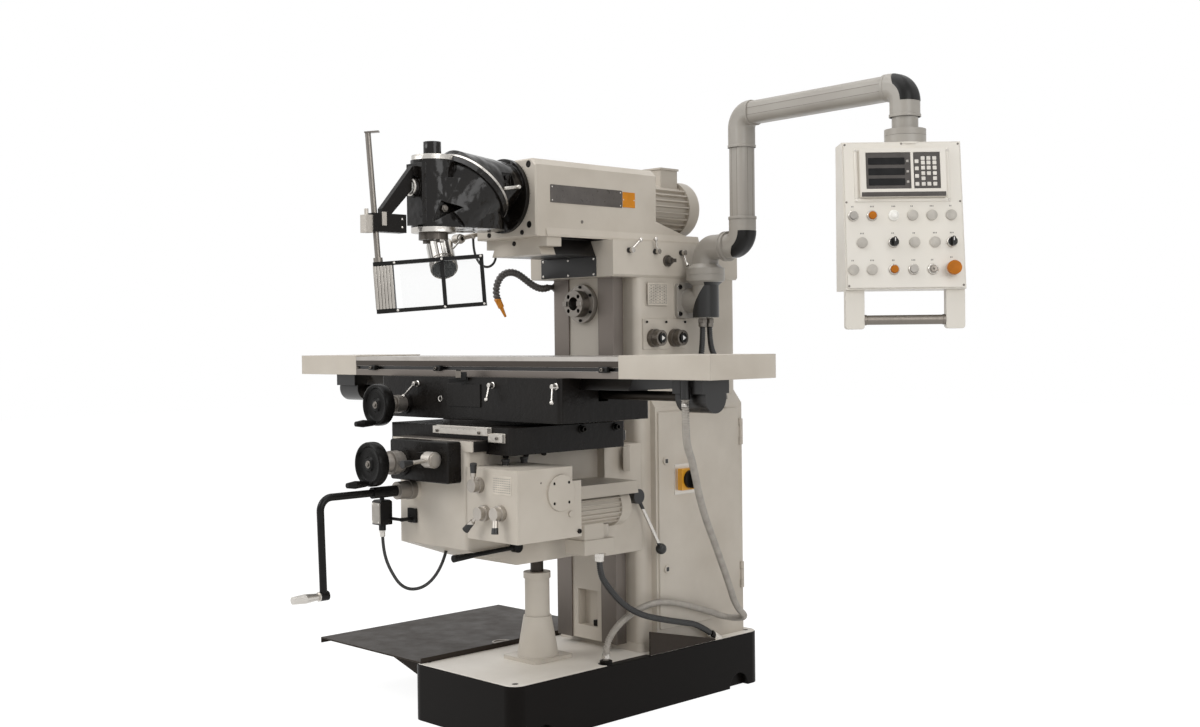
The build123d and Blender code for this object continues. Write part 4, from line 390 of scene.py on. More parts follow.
finishes = {
    "cream": creamEnamel("satin cream enamel"),
    "column": creamEnamel("cream column enamel", areas["column"]),
    "ram": creamEnamel("cream ram enamel", areas["ram"]),
    "knee": creamEnamel("cream knee enamel", areas["knee"]),
    "door": creamEnamel("cream door enamel", areas["door"]),
    "gearbox": creamEnamel("cream gearbox enamel", areas["gearbox"]),
    "base": enamel("base enamel", "f4efe7", "e4ded4", areas["base"], spec=0.07),
    "pedestal": enamel("pedestal enamel", "d2cbc0", "c4bcb0", spec=0.3),
    "tray": enamel("grey tray enamel", "3d3732", "37312c", areas["tray"], spec=0.05),
    "motor": enamel("motor enamel", "bdb5a9", paint["creamShade"]),
    "cover": enamel("cover enamel", "c8c0b4", paint["creamShade"]),
    "pendant": enamel("pendant enamel", paint["pendant"], "dcd6cb", areas["pendant"], rough=0.38),
    "armPaint": silverPaint("silver arm paint"),
    "armFoot": silverPaint("silver arm foot paint", areas["armFoot"]),
    "black": blackEnamel("black casting enamel", blackCast),
    "head": blackEnamel("black head enamel", blackGloss, areas["head"]),
    "swivel": blackEnamel("black swivel enamel", blackGloss),
    "guardBlack": blackEnamel("black guard enamel", blackCast, areas["guard"]),
    "saddle": blackEnamel("black saddle enamel", blackCast, areas["saddle"]),
    "table": machined("ground table", "b5b0aa", "8c8680", 0.34, areas["table"], (1, 12, 12)),
    "oiled": machined("oiled dark screw", "37332f", "24211e", 0.36, streaks=(1, 1, 12)),
    "barSteel": machined("handle steel", "79736c", "5d5852", 0.40),
    "steel": brightSteel("turned steel"),
    "ballLever": brightSteel("ball lever", areas["ballLever"]),
    "clampLever": brightSteel("ram clamp lever", areas["clampLever"]),
    "upLever": satinLever("upward feed lever", areas["upLever"]),
    "downLever": satinLever("downward feed lever", areas["downLever"]),
    "crossLever": satinLever("cross feed lever", areas["crossLever"]),
    "spindle": machined("spindle steel", "85807a", "5e5953", 0.34),
    "darkSpindle": machined("dark spindle steel", "57524d", "3a3632", 0.36),
    "postSteel": machined("post steel", "78736d", "5b5650", 0.34),
    "knob": machined("dull knob", "6f6962", "4f4a45", 0.38),
    "profile": machined("bright guard profile", "b0aba4", "938d86", 0.34, streaks=(8, 8, 1)),
    "alloy": machined("satin alloy", paint["alloy"], paint["alloyDark"], 0.36, streaks=(1, 1, 3)),
    "blackScrew": machined("blackened screw", "2b2927", "191817", 0.38, streaks=(1, 1, 1)),
    "darkScrew": machined("dull screw", "77726c", "4a4744", 0.36, streaks=(1, 1, 1)),
    # painted reflection: the lamp head's bright and dark bands
    "lampReflectionBands": lampWithPaintedReflections("lamp alloy with painted reflection bands", "d8d5cf", "4a4642"),
    "screen": clearSheet("clear guard sheet", "dfe4e2"),
    "lever": moulded("gloss black handle", paint["plastic"], 0.26, 0.05, spec=0.08),
    "crossWheel": glossWheel("gloss black cross wheel", areas["crossWheel"]),
    "tableWheel": glossWheel("gloss black table wheel", areas["tableWheel"]),
    "crank": glossWheel("gloss black crank", areas["crank"]),
    "plastic": moulded("black plastic", paint["plastic"], 0.38, spec=0.2),
    "orange": moulded("orange plastic", paint["button"], 0.36, 0.05, spec=0.1),
    "grey": moulded("grey button plastic", "9a958e", 0.34),
    "hose": moulded("grey hose", paint["hose"], 0.40, 0.10),
    "conduit": moulded("black conduit", paint["conduit"], 0.36, 0.10),
    "coolant": moulded("segmented hose plastic", "4d4946", 0.38, 0.06, areas["coolant"]),
    "plug": moulded("blanking plug plastic", "aaa59d", 0.40, 0.05, spec=0.3),
    "lens": moulded("white lens", "e4e1da", 0.20, 0.02, coat=0.5),
    "displayFace": moulded("readout face", "46423f", 0.50, 0.10, spec=0.25),
    "display": moulded("readout window", "0b0a0a", 0.40, 0.01, spec=0.12),
    "key": moulded("keypad key", "c9c4bc", 0.45, 0.05),
    "print": moulded("dark print", "3a3735", 0.55, 0.02),
    "mark": moulded("white mark", "e8e5df", 0.5, 0.02),
    "chartPlate": moulded("etched chart plate", "beb6aa", 0.42, 0.04),
    "darkPlate": moulded("dark side plate", "4b4642", 0.32, 0.04),
    "orangePlate": moulded("orange side plate", "c07a15", 0.42, 0.04, spec=0.3),
}
# nodes that are not named here are bright steel
wears = {
    "base": ["base_casting"], "column": ["column_casting"], "tray": ["drip_tray"], "door": ["cabinet_door"],
    "ram": ["ram_casting"], "knee": ["knee_casting"], "gearbox": ["feed_gearbox"], "swivel": ["swivel_housing"],
    "head": ["head_housing"], "black": ["knee_gear_cover", "swivel_carrier"], "saddle": ["lower_saddle"],
    "guardBlack": ["guard_bracket"], "motor": ["ram_motor", "feed_motor"], "table": ["table_plate"],
    "cover": ["table_end_covers"], "pedestal": ["elevating_pedestal"], "screen": ["guard_screen"],
    "postSteel": ["guard_post"], "alloy": ["lamp_arm"], "lampReflectionBands": ["lamp_head"], "armFoot": ["arm_base"],
    "armPaint": ["swing_arm"], "pendant": ["pendant_housing"], "crossWheel": ["cross_handwheel"],
    "tableWheel": ["table_handwheel"], "crank": ["knee_crank"], "lever": ["knee_clamp_lever"],
    "knob": ["speed_knob_left", "speed_knob_right"], "coolant": ["coolant_hose"], "upLever": ["feed_lever_1"],
    "plastic": ["guard_frame", "limit_switch", "main_switch_knob", "selector_left", "selector_right"],
    "orange": ["emergency_stop", "push_button_2", "push_button_3"], "grey": ["push_button_1", "push_button_4"],
    "downLever": ["feed_lever_2", "feed_lever_3"], "crossLever": ["cross_feed_lever"],
    "ballLever": ["knee_ball_lever"], "oiled": ["elevating_screw", "table_screw"],
    "clampLever": ["ram_clamp_lever_1", "ram_clamp_lever_2", "ram_clamp_lever_3"],
    "darkScrew": ["ram_feed_shaft"], "darkSpindle": ["vertical_spindle"], "spindle": ["horizontal_spindle"],
}
finishOf = {nodeName: finish for finish, worn in wears.items() for nodeName in worn}
for nodeName, node in nodes.items():
    node.data.materials.clear()
    node.data.materials.append(finishes[finishOf.get(nodeName, "steel")])
print("finishes on the frame:", len(finishes))

# Hoses, conduits and cables, each on its route's own smooth line.

conduit = {"radius": 10, "depth": 1.6, "pitch": 6.6, "finish": "conduit", "slot": "conduit_black"}
cable = dict(conduit, depth=0, pitch=4)
lines = {
    "drainHose": {
        "radius": 11, "depth": 2.2, "pitch": 7.4, "finish": "hose", "slot": "hose_grey", "node": "drain_hose",
        "points": [(816, -400, 1040), (816, -400, 968), (778, -352, 905), (690, -232, 852), (580, -73, 700),
                   (470, 129, 529), (410, 251, 405), (372, 330, 315), (352, 415, 262), (248, 425, 248),
                   (246, 330, 286), (240, 150, 342), (236, 50, 346), (233, -45, 318), (229, -98, 284),
                   (224, -132, 238), (224, -132, 190)],
        "bodies": ["table", "swivel_carrier", "lower_saddle", "knee", "frame"], "cuts": [0.10, 0.22, 0.34],
        # the part between knee and base sinks below the ball lever: where it is cut again, and spans for how it
        # follows, which are read but not used
        "sag": {"cuts": [(248, 425, 248), (238, 100, 345)],
                "spans": [((0, 0, 630), (0, 0, 103.4)), ((0, -825.6, 0), (0, 910, 0)),
                          ((0, 363.7, 0), (0, -132, 0))]},
    },
    "motorConduit": dict(conduit, node="motor_conduit", bodies=["knee", "frame"], points=[
        (300, -230, 538), (300, -230, 488), (291, -188, 440), (280, -113, 374), (268, -16, 323), (262, 93, 292),
        (256, 190, 268), (246, 282, 246), (238, 352, 206)]),
    "frontConduit": dict(conduit, node="pendant_conduits", bodies=["frame"], points=[
        (275, 288, 1263), (275, 288, 1190), (244, 304, 1110), (212, 320, 1062), (212, 320, 1015)]),
    # the second cord of the same node
    "rearConduit": dict(conduit, node=None, bodies=["frame"], points=[
        (275, 322, 1263), (275, 322, 1185), (255, 380, 1130), (226, 435, 1090), (212, 462, 1050),
        (212, 462, 1008)]),
    "switchCable": dict(cable, radius=5, node="switch_cable", bodies=["knee"], points=[
        (-165, -706, 628), (-165, -706, 575), (-146, -698, 512), (-108, -672, 446), (-66, -620, 450),
        (-55, -563.4, 508.3), (-55, -546.5, 557.5)]),
    "lampCable": dict(cable, radius=4, node="lamp_cable", bodies=["ram", "lamp_arm"], points=[
        (-133, -262, 1500), (-133, -262, 1468), (-138, -289, 1443), (-150, -318, 1452), (-159, -337, 1496),
        (-159, -337, 1538)]),
}
ribPattern = [(0.0, 1), (0.18, 0), (0.50, 0), (0.68, 1)]  # share of a pitch, and 1 where it is a valley


def smoothRoute(points):
    # the route's own smooth line, read back from a NURBS spline with the route's points
    curve = bpy.data.curves.new("route", "CURVE")
    curve.dimensions = "3D"
    curve.resolution_u = 24
    spline = curve.splines.new("NURBS")
    spline.points.add(len(points) - 1)
    for point, place in zip(spline.points, points):
        point.co = mm(*place) + (1.0,)
    spline.order_u = 3
    spline.use_endpoint_u = True
    holder = bpy.data.objects.new("route", curve)
    bpy.context.scene.collection.objects.link(holder)
    mesh = bpy.data.meshes.new_from_object(holder)
    line = [v.co.copy() for v in mesh.vertices]
    bpy.data.objects.remove(holder)
    bpy.data.meshes.remove(mesh)
    return line


def lengths(line):
    run = [0.0]
    for a, b in zip(line, line[1:]):
        run.append(run[-1] + (b - a).length)
    return run


def pointAt(line, run, distance):
    for i in range(len(run) - 1):
        if distance <= run[i + 1] or i == len(run) - 2:
            share = (distance - run[i]) / max(1e-9, run[i + 1] - run[i])
            return line[i].lerp(line[i + 1], min(1.0, max(0.0, share)))


def hoseMesh(name, line, low, high, spec, sides=18):
    # rings along the line, alternating between crest and valley where the hose is ribbed
    run = lengths(line)
    radius, depth, pitch = mm(spec["radius"], spec["depth"], spec["pitch"])
    ribs = max(1, round((high - low) / pitch))
    pattern = ribPattern if depth else [(0.0, 0)]
    stations = []
    for i in range(ribs):
        for share, valley in pattern:
            stations.append((low + (high - low) * (i + share) / ribs, radius - valley * depth))
    stations.append((high, radius - pattern[0][1] * depth))
    centres = [pointAt(line, run, d) for d, r in stations]
    last = len(centres) - 1
    tangents = [(centres[min(i + 1, last)] - centres[max(i - 1, 0)]).normalized() for i in range(last + 1)]
    side = tangents[0].orthogonal().normalized()
    verts = []
    for i, (centre, tangent) in enumerate(zip(centres, tangents)):
        side = (side - tangent * side.dot(tangent)).normalized()
        other = tangent.cross(side)
        for k in range(sides):
            turn = 2 * math.pi * k / sides
            verts.append(centre + (side * math.cos(turn) + other * math.sin(turn)) * stations[i][1])
    faces = []
    for i in range(last):
        for k in range(sides):
            n = (k + 1) % sides
            faces.append((i * sides + k, i * sides + n, (i + 1) * sides + n, (i + 1) * sides + k))
    faces.append(tuple(reversed(range(sides))))
    faces.append(tuple(last * sides + k for k in range(sides)))
    mesh = bpy.data.meshes.new(name)
    mesh.from_pydata([tuple(v) for v in verts], [], faces)
    mesh.update()
    for polygon in mesh.polygons:
        polygon.use_smooth = True
    piece = bpy.data.objects.new(name, mesh)
    bpy.context.scene.collection.objects.link(piece)
    piece.data.materials.append(finishes[spec["finish"]])
    return piece, centres


def layLine(name, spec):
    line = smoothRoute(spec["points"])
    run = lengths(line)
    total = run[-1]
    bodies = spec["bodies"]
    sag = spec.get("sag", {"cuts": [], "spans": []})
    ends = [0.0] + [share * total for share in spec.get("cuts", [])]
    for cut in sag["cuts"]:
        ends.append(min(zip(line, run), key=lambda step: (step[0] - Vector(mm(*cut))).length)[1])
    ends.append(total)
    firstSag = len(ends) - 1 - len(sag["spans"])
    for i in range(len(ends) - 1):
        part = name if len(ends) == 2 else name + "." + str(i + 1)
        piece, path = hoseMesh(part, line, ends[i], ends[i + 1], spec)
        if len(bodies) == 1:
            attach(piece, bodies[0])
        elif sag["spans"] and i >= firstSag:
            low, high = sag["spans"][i - firstSag]
            mm(*low)
            mm(*high)
            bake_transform(piece)
        else:
            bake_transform(piece)
        if i == 0 and spec["node"]:
            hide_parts(spec["node"])
        ends[i + 1] - ends[i]
        2 * spec["radius"] / 1000
    print("line", name, round(total, 3), "m")


for lineName, lineSpec in lines.items():
    layLine(lineName, lineSpec)

# Modelling by hand: start from a primitive, shape it in edit mode, put it in its place.


def fresh():
    if bpy.context.mode != "OBJECT":
        bpy.ops.object.mode_set(mode="OBJECT")
    bpy.ops.object.select_all(action="DESELECT")


def only(piece):
    fresh()
    piece.select_set(True)
    bpy.context.view_layer.objects.active = piece


def choose(piece, kind, test):
    mesh = piece.data
    for group in (mesh.vertices, mesh.edges, mesh.polygons):
        group.foreach_set("select", [False] * len(group))
    bpy.context.tool_settings.mesh_select_mode = (False, kind == "EDGE", kind == "FACE")
    for item in {"EDGE": mesh.edges, "FACE": mesh.polygons}[kind]:
        item.select = bool(test(item))


def shape(piece, kind, test, *steps):
    # each step is an operator of edit mode with its values
    choose(piece, kind, test)
    bpy.ops.object.mode_set(mode="EDIT")
    for operator, values in steps:
        operator(**values)
    bpy.ops.object.mode_set(mode="OBJECT")


def everything(item):
    return True


def onTop(face):
    return face.normal.z > 0.9


def atEnds(face):
    return abs(face.normal.z) > 0.9


def inset(thickness, depth=0.0):
    return bpy.ops.mesh.inset, {"thickness": thickness / 1000, "depth": depth / 1000}


def ease(offset, segments):
    return bpy.ops.mesh.bevel, {"offset": offset / 1000, "segments": segments, "affect": "EDGES"}


def block(size, bevel=0.8, segments=2):
    fresh()
    bpy.ops.mesh.primitive_cube_add(size=1)
    piece = bpy.context.object
    piece.scale = mm(*size)
    bpy.ops.object.transform_apply(location=False, rotation=False, scale=True)
    shape(piece, "EDGE", everything, ease(bevel, segments))
    return piece


def plate(size, corner, rim=0.4):
    # a flat plate standing on z = 0, with rounded corners and an eased front edge
    fresh()
    wide, tall, thick = mm(*size)
    bpy.ops.mesh.primitive_cube_add(size=1, location=(0, 0, thick / 2))
    piece = bpy.context.object
    piece.scale = (wide, tall, thick)
    bpy.ops.object.transform_apply(location=True, rotation=False, scale=True)

    def upright(edge):
        a, b = (piece.data.vertices[i].co for i in edge.vertices)
        return abs(a.z - b.z) > thick / 2

    shape(piece, "EDGE", upright, ease(corner, 5))
    shape(piece, "FACE", onTop, inset(rim), (bpy.ops.transform.translate, {"value": mm(0, 0, rim)}))
    return piece


def turned(profile, sides=40, degrees=360):
    # a profile of (radius, height) points, drawn by extruding one vertex, then spun about z
    points = [mm(*point) for point in profile]
    fresh()
    bpy.ops.mesh.primitive_plane_add(size=0.002)
    piece = bpy.context.object
    bpy.context.tool_settings.mesh_select_mode = (True, False, False)
    bpy.ops.object.mode_set(mode="EDIT")
    bpy.ops.mesh.select_all(action="SELECT")
    bpy.ops.mesh.merge(type="CENTER")
    bpy.ops.transform.translate(value=(points[0][0], 0, points[0][1]))
    for (r0, z0), (r1, z1) in zip(points, points[1:]):
        bpy.ops.mesh.extrude_region_move(TRANSFORM_OT_translate={"value": (r1 - r0, 0, z1 - z0)})
    bpy.ops.mesh.select_all(action="SELECT")
    bpy.ops.mesh.spin(steps=sides, angle=math.radians(degrees), center=(0, 0, 0), axis=(0, 0, 1))
    bpy.ops.mesh.select_all(action="SELECT")
    bpy.ops.mesh.remove_doubles(threshold=0.000002)
    bpy.ops.mesh.normals_make_consistent(inside=False)
    bpy.ops.object.mode_set(mode="OBJECT")
    return piece


def drum(sides, radius, height):
    # a plain prism standing on z = 0, a start for screws and nuts
    fresh()
    bpy.ops.mesh.primitive_cylinder_add(vertices=sides, radius=radius / 1000, depth=height / 1000,
                                        location=mm(0, 0, height / 2))
    piece = bpy.context.object
    bpy.ops.object.transform_apply(location=True, rotation=False, scale=False)
    return piece


def lay(piece, place, axis=upward, across=None):
    # local z goes along axis, local x as near to across as it can
    z = Vector(axis).normalized()
    x = Vector(across) if across is not None else z.orthogonal()
    x = (x - z * x.dot(z)).normalized()
    y = z.cross(x)
    spot = mm(*place)
    piece.matrix_world = Matrix((
        (x.x, y.x, z.x, spot[0]), (x.y, y.y, z.y, spot[1]), (x.z, y.z, z.z, spot[2]), (0, 0, 0, 1)))
    only(piece)
    bpy.ops.object.transform_apply(location=True, rotation=True, scale=True)
    return piece


def copyOf(piece):
    twin = piece.copy()
    twin.data = piece.data.copy()
    bpy.context.scene.collection.objects.link(twin)
    return twin


def gather(parts):
    fresh()
    for part in parts:
        part.select_set(True)
    bpy.context.view_layer.objects.active = parts[0]
    if len(parts) > 1:
        bpy.ops.object.join()
    return parts[0]


def done(piece, name, body, finish, angle=32):
    piece.name = name
    piece.data.name = name
    piece.data.materials.clear()
    piece.data.materials.append(finishes[finish])
    only(piece)
    bpy.ops.object.shade_smooth_by_angle(angle=math.radians(angle))
    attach(piece, body)
    return piece


def put(piece, name, body, finish, *where):
    # where is a point, then an axis and a direction across it where they matter
    return done(lay(piece, *where), name, body, finish)


def facing(spots, axis):
    return [(spot, axis) for spot in spots]


def repeat(pattern, name, body, finish, places):
    # one modelled shape at many places, joined as one piece; a place is what put calls where
    parts = [lay(copyOf(pattern), *place) for place in places]
    bpy.data.objects.remove(pattern)
    return done(gather(parts), name, body, finish)


def strokes(name, body, bars, finish="print", bevel=0.05):
    # thin marks joined as one piece; a bar is its size, then where it goes
    parts = [lay(block(size, bevel, 1), *where) for size, *where in bars]
    return done(gather(parts), name, body, finish)


def capScrew(radius, height):
    # a socket head screw: a chamfered head with a six-sided recess
    piece = drum(18, radius, height)
    shape(piece, "FACE", onTop, inset(radius * 0.12, radius * 0.10), inset(radius * 0.30),
          inset(radius * 0.04, -height * 0.55))
    return piece


def domeScrew(radius, height):
    # a plain domed head
    return turned([(0, height), (radius * 0.3, height * 0.97), (radius * 0.7, height * 0.72),
                   (radius, height * 0.25), (radius, 0), (0, 0)], 16)


def hexNut(radius, height, faces, rim, lift):
    nut = drum(6, radius, height)
    shape(nut, "FACE", faces, inset(rim, lift))
    return nut


# Pendant: bezels, plugs, readout, keys and plain marks on its slanting front.

panelAt = {"origin": (1108.8485, 207.0562, 1762), "right": (0.699663, 0.714473, 0.0),
           "up": (-0.099435, 0.097374, 0.990268), "out": (0.707520, -0.692854, 0.139173), "face": 4.0}
pendantPlan = {
    "bezels": [(-144, -216), (-90, -216), (-33, -372), (22, -372), (-32, -294), (134, -294), (77, -372)],
    "bezelRing": [(11.8, 0), (11.8, 6.6), (13.2, 7), (14.6, 5.8), (15.8, 1.2), (15.8, 0), (11.8, 0)],
    "plugs": [(25, -216), (80, -216), (135, -216), (-121, -294), (28, -294), (86, -294), (-148, -372),
              (-95, -372)],
    "plugCap": [(0, 7.2), (10.8, 7), (12.8, 6), (15, 5.4), (15.4, 1), (15.4, 0), (0, 0)],
    "lens": (-29, -216),
    "lensDome": [(0, 13), (6, 12.6), (9.5, 11), (11.2, 8), (12.8, 6.4), (15.2, 5.2), (15.6, 0), (0, 0)],
    "key": (77, -372), "keyway": (1.4, 7, 1.2), "keyDepth": 10.9,
    "lock": [(0, 10.5), (2.2, 10.5), (2.6, 10), (8.5, 10.8), (10.6, 10), (10.8, 7), (10.8, 4), (0, 4)],
    "stop": (132, -372),
    "selectors": {"selector_left": (-32, -294), "selector_right": (134, -294)}, "pointer": (2.2, 10, 0.8),
    "cornerScrews": [(-162, -8), (0, -6), (162, -8), (162, -176), (-162, -176), (-162, -418), (162, -418)],
    "mark": {"size": (2, 4, 0.25), "pitch": 4, "rise": 27, "stopRise": 34, "level": 4.05},
}
readout = {
    "trim": {"size": (273, 156), "centre": (-1.5, -98), "bar": 10, "thick": 2, "level": 4.9, "screws": 5.8},
    "faces": {"displayFace": ((126.6, 104.6, 1.2), (-42, -88)), "keypadFace": ((74.6, 104.6, 1.2), (68, -88))},
    "faceLevel": 15.2, "keyLevel": 16.4,
    # the dark sill under the readout box: partly its black rubber edge, partly painted shade below the box
    "sill": {"size": (240, 13, 2.4), "at": (0, -157, 18)},
    "windows": [-60.5, -91, -121], "windowSize": (104, 20, 1), "windowX": -47,
    "keyColumns": [57, 73, 90], "keyRows": [-53, -66, -81, -97, -112, -128], "missing": (73, -112),
    "sideKeys": [-62, -83, -105, -128], "sideX": 39, "keySize": (11, 11, 1.6),
    "axisKeySize": (7, 7, 1.2), "axisKeyX": 13,
}


def onPanel(x, y, level=panelAt["face"]):
    return (Vector(panelAt["origin"]) + Vector(panelAt["right"]) * x + Vector(panelAt["up"]) * y
            + Vector(panelAt["out"]) * level)


def roundSpots(places, level=panelAt["face"]):
    return [(onPanel(x, y, level), panelAt["out"]) for x, y in places]


def squareSpots(places, level=panelAt["face"]):
    return [(onPanel(x, y, level), panelAt["out"], panelAt["right"]) for x, y in places]


def dressPendant():
    plan = pendantPlan
    out, right = panelAt["out"], panelAt["right"]
    repeat(turned(plan["bezelRing"], 36), "buttonBezels", "pendant", "steel", roundSpots(plan["bezels"]))
    repeat(turned(plan["plugCap"], 36), "blankingPlugs", "pendant", "plug", roundSpots(plan["plugs"]))
    repeat(turned(plan["lensDome"], 36), "signalLens", "pendant", "lens", roundSpots([plan["lens"]]))
    repeat(turned(plan["lock"], 36), "keySwitch", "pendant", "barSteel", squareSpots([plan["key"]]))
    # the keyhole as a black bar: painted shade of the opening
    keyway = lay(block(plan["keyway"], 0.2), (0, 0, plan["keyDepth"]))
    repeat(keyway, "keySlotShade", "pendant", "plastic", squareSpots([plan["key"]]))
    dressReadout()
    repeat(domeScrew(3.2, 1.8), "panelScrews", "pendant", "darkScrew", roundSpots(plan["cornerScrews"]))
    # white pointers on the two selectors, on the foremost face of each
    for name, (x, y) in plan["selectors"].items():
        origin, corners = Vector(panelAt["origin"]), nodes[name].data.vertices
        reach = max((corner.co * 1000 - origin).dot(Vector(out)) for corner in corners)
        pointer = lay(block(plan["pointer"], 0.2), onPanel(x, y + 4.5, reach), out, right)
        done(pointer, name + ".pointer", name, "mark")
    # two or three strokes above each control
    mark = plan["mark"]
    bars = []
    for i, (x, y) in enumerate(plan["bezels"] + [plan["lens"]] + plan["plugs"] + [plan["stop"]]):
        rise = mark["stopRise"] if (x, y) == plan["stop"] else mark["rise"]
        for k in range(2 + i % 2):
            spot = onPanel(x + mark["pitch"] * (k - 1), y + rise, mark["level"])
            bars.append((mark["size"], spot, out, right))
    strokes("controlMarks", "pendant", bars)


def dressReadout():
    trim = readout["trim"]
    out, right = panelAt["out"], panelAt["right"]
    (wide, tall), (cx, cy), bar = trim["size"], trim["centre"], trim["bar"]
    halfWide, halfTall = (wide - bar) / 2, (tall - bar) / 2
    strips = [(0, halfTall, wide, bar), (0, -halfTall, wide, bar), (halfWide, 0, bar, tall - 2 * bar),
              (-halfWide, 0, bar, tall - 2 * bar)]
    parts = [lay(block((w, h, trim["thick"]), 0.5), onPanel(cx + x, cy + y, trim["level"]), out, right)
             for x, y, w, h in strips]
    done(gather(parts), "readoutTrim", "pendant", "pendant")
    corners = [(cx + sx * halfWide, cy + sy * halfTall) for sx in bothWays for sy in bothWays]
    repeat(domeScrew(3, 1.6), "trimScrews", "pendant", "steel", roundSpots(corners, trim["screws"]))
    for name, (size, centre) in readout["faces"].items():
        put(plate(size, 2), name, "pendant", "displayFace", onPanel(*centre, readout["faceLevel"]), out, right)
    # dark sill: black rubber edge and painted shade under the readout box
    sill = readout["sill"]
    put(block(sill["size"], 0.9), "readoutSillAndShade", "pendant", "displayFace", onPanel(*sill["at"]), out, right)
    level = readout["keyLevel"]
    repeat(plate(readout["windowSize"], 1.5), "displayWindows", "pendant", "display",
           squareSpots([(readout["windowX"], y) for y in readout["windows"]], level))
    keys = [(x, y) for x in readout["keyColumns"] for y in readout["keyRows"] if (x, y) != readout["missing"]]
    keys += [(readout["sideX"], y) for y in readout["sideKeys"]]
    repeat(plate(readout["keySize"], 1.6, 0.7), "keypadKeys", "pendant", "key", squareSpots(keys, level))
    repeat(plate(readout["axisKeySize"], 1), "axisKeys", "pendant", "grey",
           squareSpots([(readout["axisKeyX"], y) for y in readout["windows"]], level))


# Column: drive keys of both spindles, ring and cover screws, the speed chart, faces of the speed knobs.

columnPlan = {
    "driveKey": (16, 15.9, 9), "keyRadius": 34.5, "noseFront": (-48, 1325), "noseBelow": (-622, 1509.2),
    "ring": {"count": 6, "radius": 55.5, "y": -12, "z": 1325},
    "wayCover": {"x": (-132, -10, 111), "y": -57, "z": (1419, 1468)},
    "knobs": {"speed_knob_left": 132, "speed_knob_right": 234}, "knobZ": 1209,
    "knobFace": [(0, 1), (15, 1), (15.6, 0.4), (15.6, 0), (0, 0)],
    "knobArrow": [(0, 0.6), (9.8, 0.6), (9.8, 0), (0, 0)], "arrowTip": (0, -0.5, 0.86),
    "arrowLevel": 0.9,
    "knobPlate": {"x": 200.5, "y": (96, 189, 282), "z": 1262},
}
speedChart = {"x": 199.4, "y": (101, 201), "z": (1315, 1393), "rows": 7, "columns": 4, "border": 4, "margin": 16,
              "line": 0.8, "figure": (9, 1.8), "ink": 0.3, "level": 1.1}


def dressColumn():
    plan = columnPlan
    y, z = plan["noseFront"]
    repeat(block(plan["driveKey"]), "horizontalDriveKeys", "horizontal_spindle", "steel",
           [((s * plan["keyRadius"], y, z), toFront, toRight) for s in bothWays])
    y, z = plan["noseBelow"]
    repeat(block(plan["driveKey"]), "verticalDriveKeys", "vertical_spindle", "steel",
           [((s * plan["keyRadius"], y, z), downward, toRight) for s in bothWays])
    ring = plan["ring"]
    places = []
    for k in range(ring["count"]):
        turn = math.radians((k + 0.5) * 360 / ring["count"])
        x, rise = ring["radius"] * math.cos(turn), ring["radius"] * math.sin(turn)
        places.append(((x, ring["y"], ring["z"] + rise), toFront))
    repeat(capScrew(5, 4.2), "bearingRingScrews", "frame", "blackScrew", places)
    cover = plan["wayCover"]
    repeat(domeScrew(4.5, 2.6), "wayCoverScrews", "frame", "steel",
           [((x, cover["y"], z), toFront) for x in cover["x"] for z in cover["z"]])
    dressChart()
    for body, y in plan["knobs"].items():
        face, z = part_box(body)[1].x * 1000, plan["knobZ"]
        put(turned(plan["knobFace"], 36), body + ".face", body, "plastic", (face, y, z), toRight)
        spot = (face + plan["arrowLevel"], y, z)
        put(turned(plan["knobArrow"], 3), body + ".pointer", body, "mark", spot, toRight, plan["arrowTip"])
    knobPlate = plan["knobPlate"]
    repeat(capScrew(4.2, 3.4), "knobPlateScrews", "frame", "blackScrew",
           [((knobPlate["x"], y, knobPlate["z"]), toRight) for y in knobPlate["y"]])


def dressChart():
    # a ruled table whose figures are short strokes
    (y0, y1), (z0, z1) = speedChart["y"], speedChart["z"]
    wide, tall = y1 - y0, z1 - z0
    midY, midZ = (y0 + y1) / 2, (z0 + z1) / 2
    rows, columns, line = speedChart["rows"], speedChart["columns"], speedChart["line"]
    ruledWide, ruledTall = wide - speedChart["margin"], tall - speedChart["margin"]
    card = plate((wide - speedChart["border"], tall - speedChart["border"], 0.7), 3)
    put(card, "speedChart", "frame", "chartPlate", (speedChart["x"], midY, midZ), toRight, toBack)
    bars = []

    def rule(size, share, rise):
        # share and rise run from 0 to 1 over the ruled part
        y, z = midY + ruledWide * (share - 0.5), midZ + ruledTall * (rise - 0.5)
        spot = (speedChart["x"] + speedChart["level"], y, z)
        bars.append((size + (speedChart["ink"],), spot, toRight, toBack))

    for k in range(rows + 1):
        rule((ruledWide, line), 0.5, k / rows)
    for k in range(columns + 1):
        rule((line, ruledTall), k / columns, 0.5)
    for k in range(rows):
        for c in range(columns):
            rule(speedChart["figure"], (c + 0.5) / columns, (k + 0.5) / rows)
    strokes("chartRules", "frame", bars)


# Ram: bare plates held by rivets, the oil plug, plugs and screws of the front face, degree marks.

ramPlan = {
    "plates": {
        "ramSidePlate": {"size": (318, 56, 1.4), "corner": 3, "at": (145, -116, 1664), "finish": "darkPlate"},
        "ramSmallPlate": {"size": (58, 50, 1.2), "corner": 2, "at": (145, 74.5, 1663.5), "finish": "orangePlate"},
    },
    "rivets": [(146.3, -116 + sx * 151, 1664 + sz * 21) for sx in bothWays for sz in bothWays]
    + [(146.1, 74.5 + sx * 24.5, 1663.5) for sx in bothWays],
    "oilPlug": [(0, 0.8), (3, 0.8), (4.2, 2), (5.2, 1.4), (5.5, 0), (0, 0)], "oilPlugAt": (145, -139, 1581),
    "facePlug": [(0, 4.4), (6, 4.4), (6.8, 5.2), (9.2, 5), (10.4, 4), (10.7, 0), (0, 0)],
    "facePlugs": [(x, -329.5, z) for x in (-112, 112) for z in (1566, 1753)],
    "lipScrews": [(80, -335, 1543), (-80, -335, 1543), (-8, -292, 1514)],
    "marks": {"each": 5, "reach": 9, "radius": 120, "y": -335.1, "z": 1661, "long": 5.5, "short": 3.5},
}


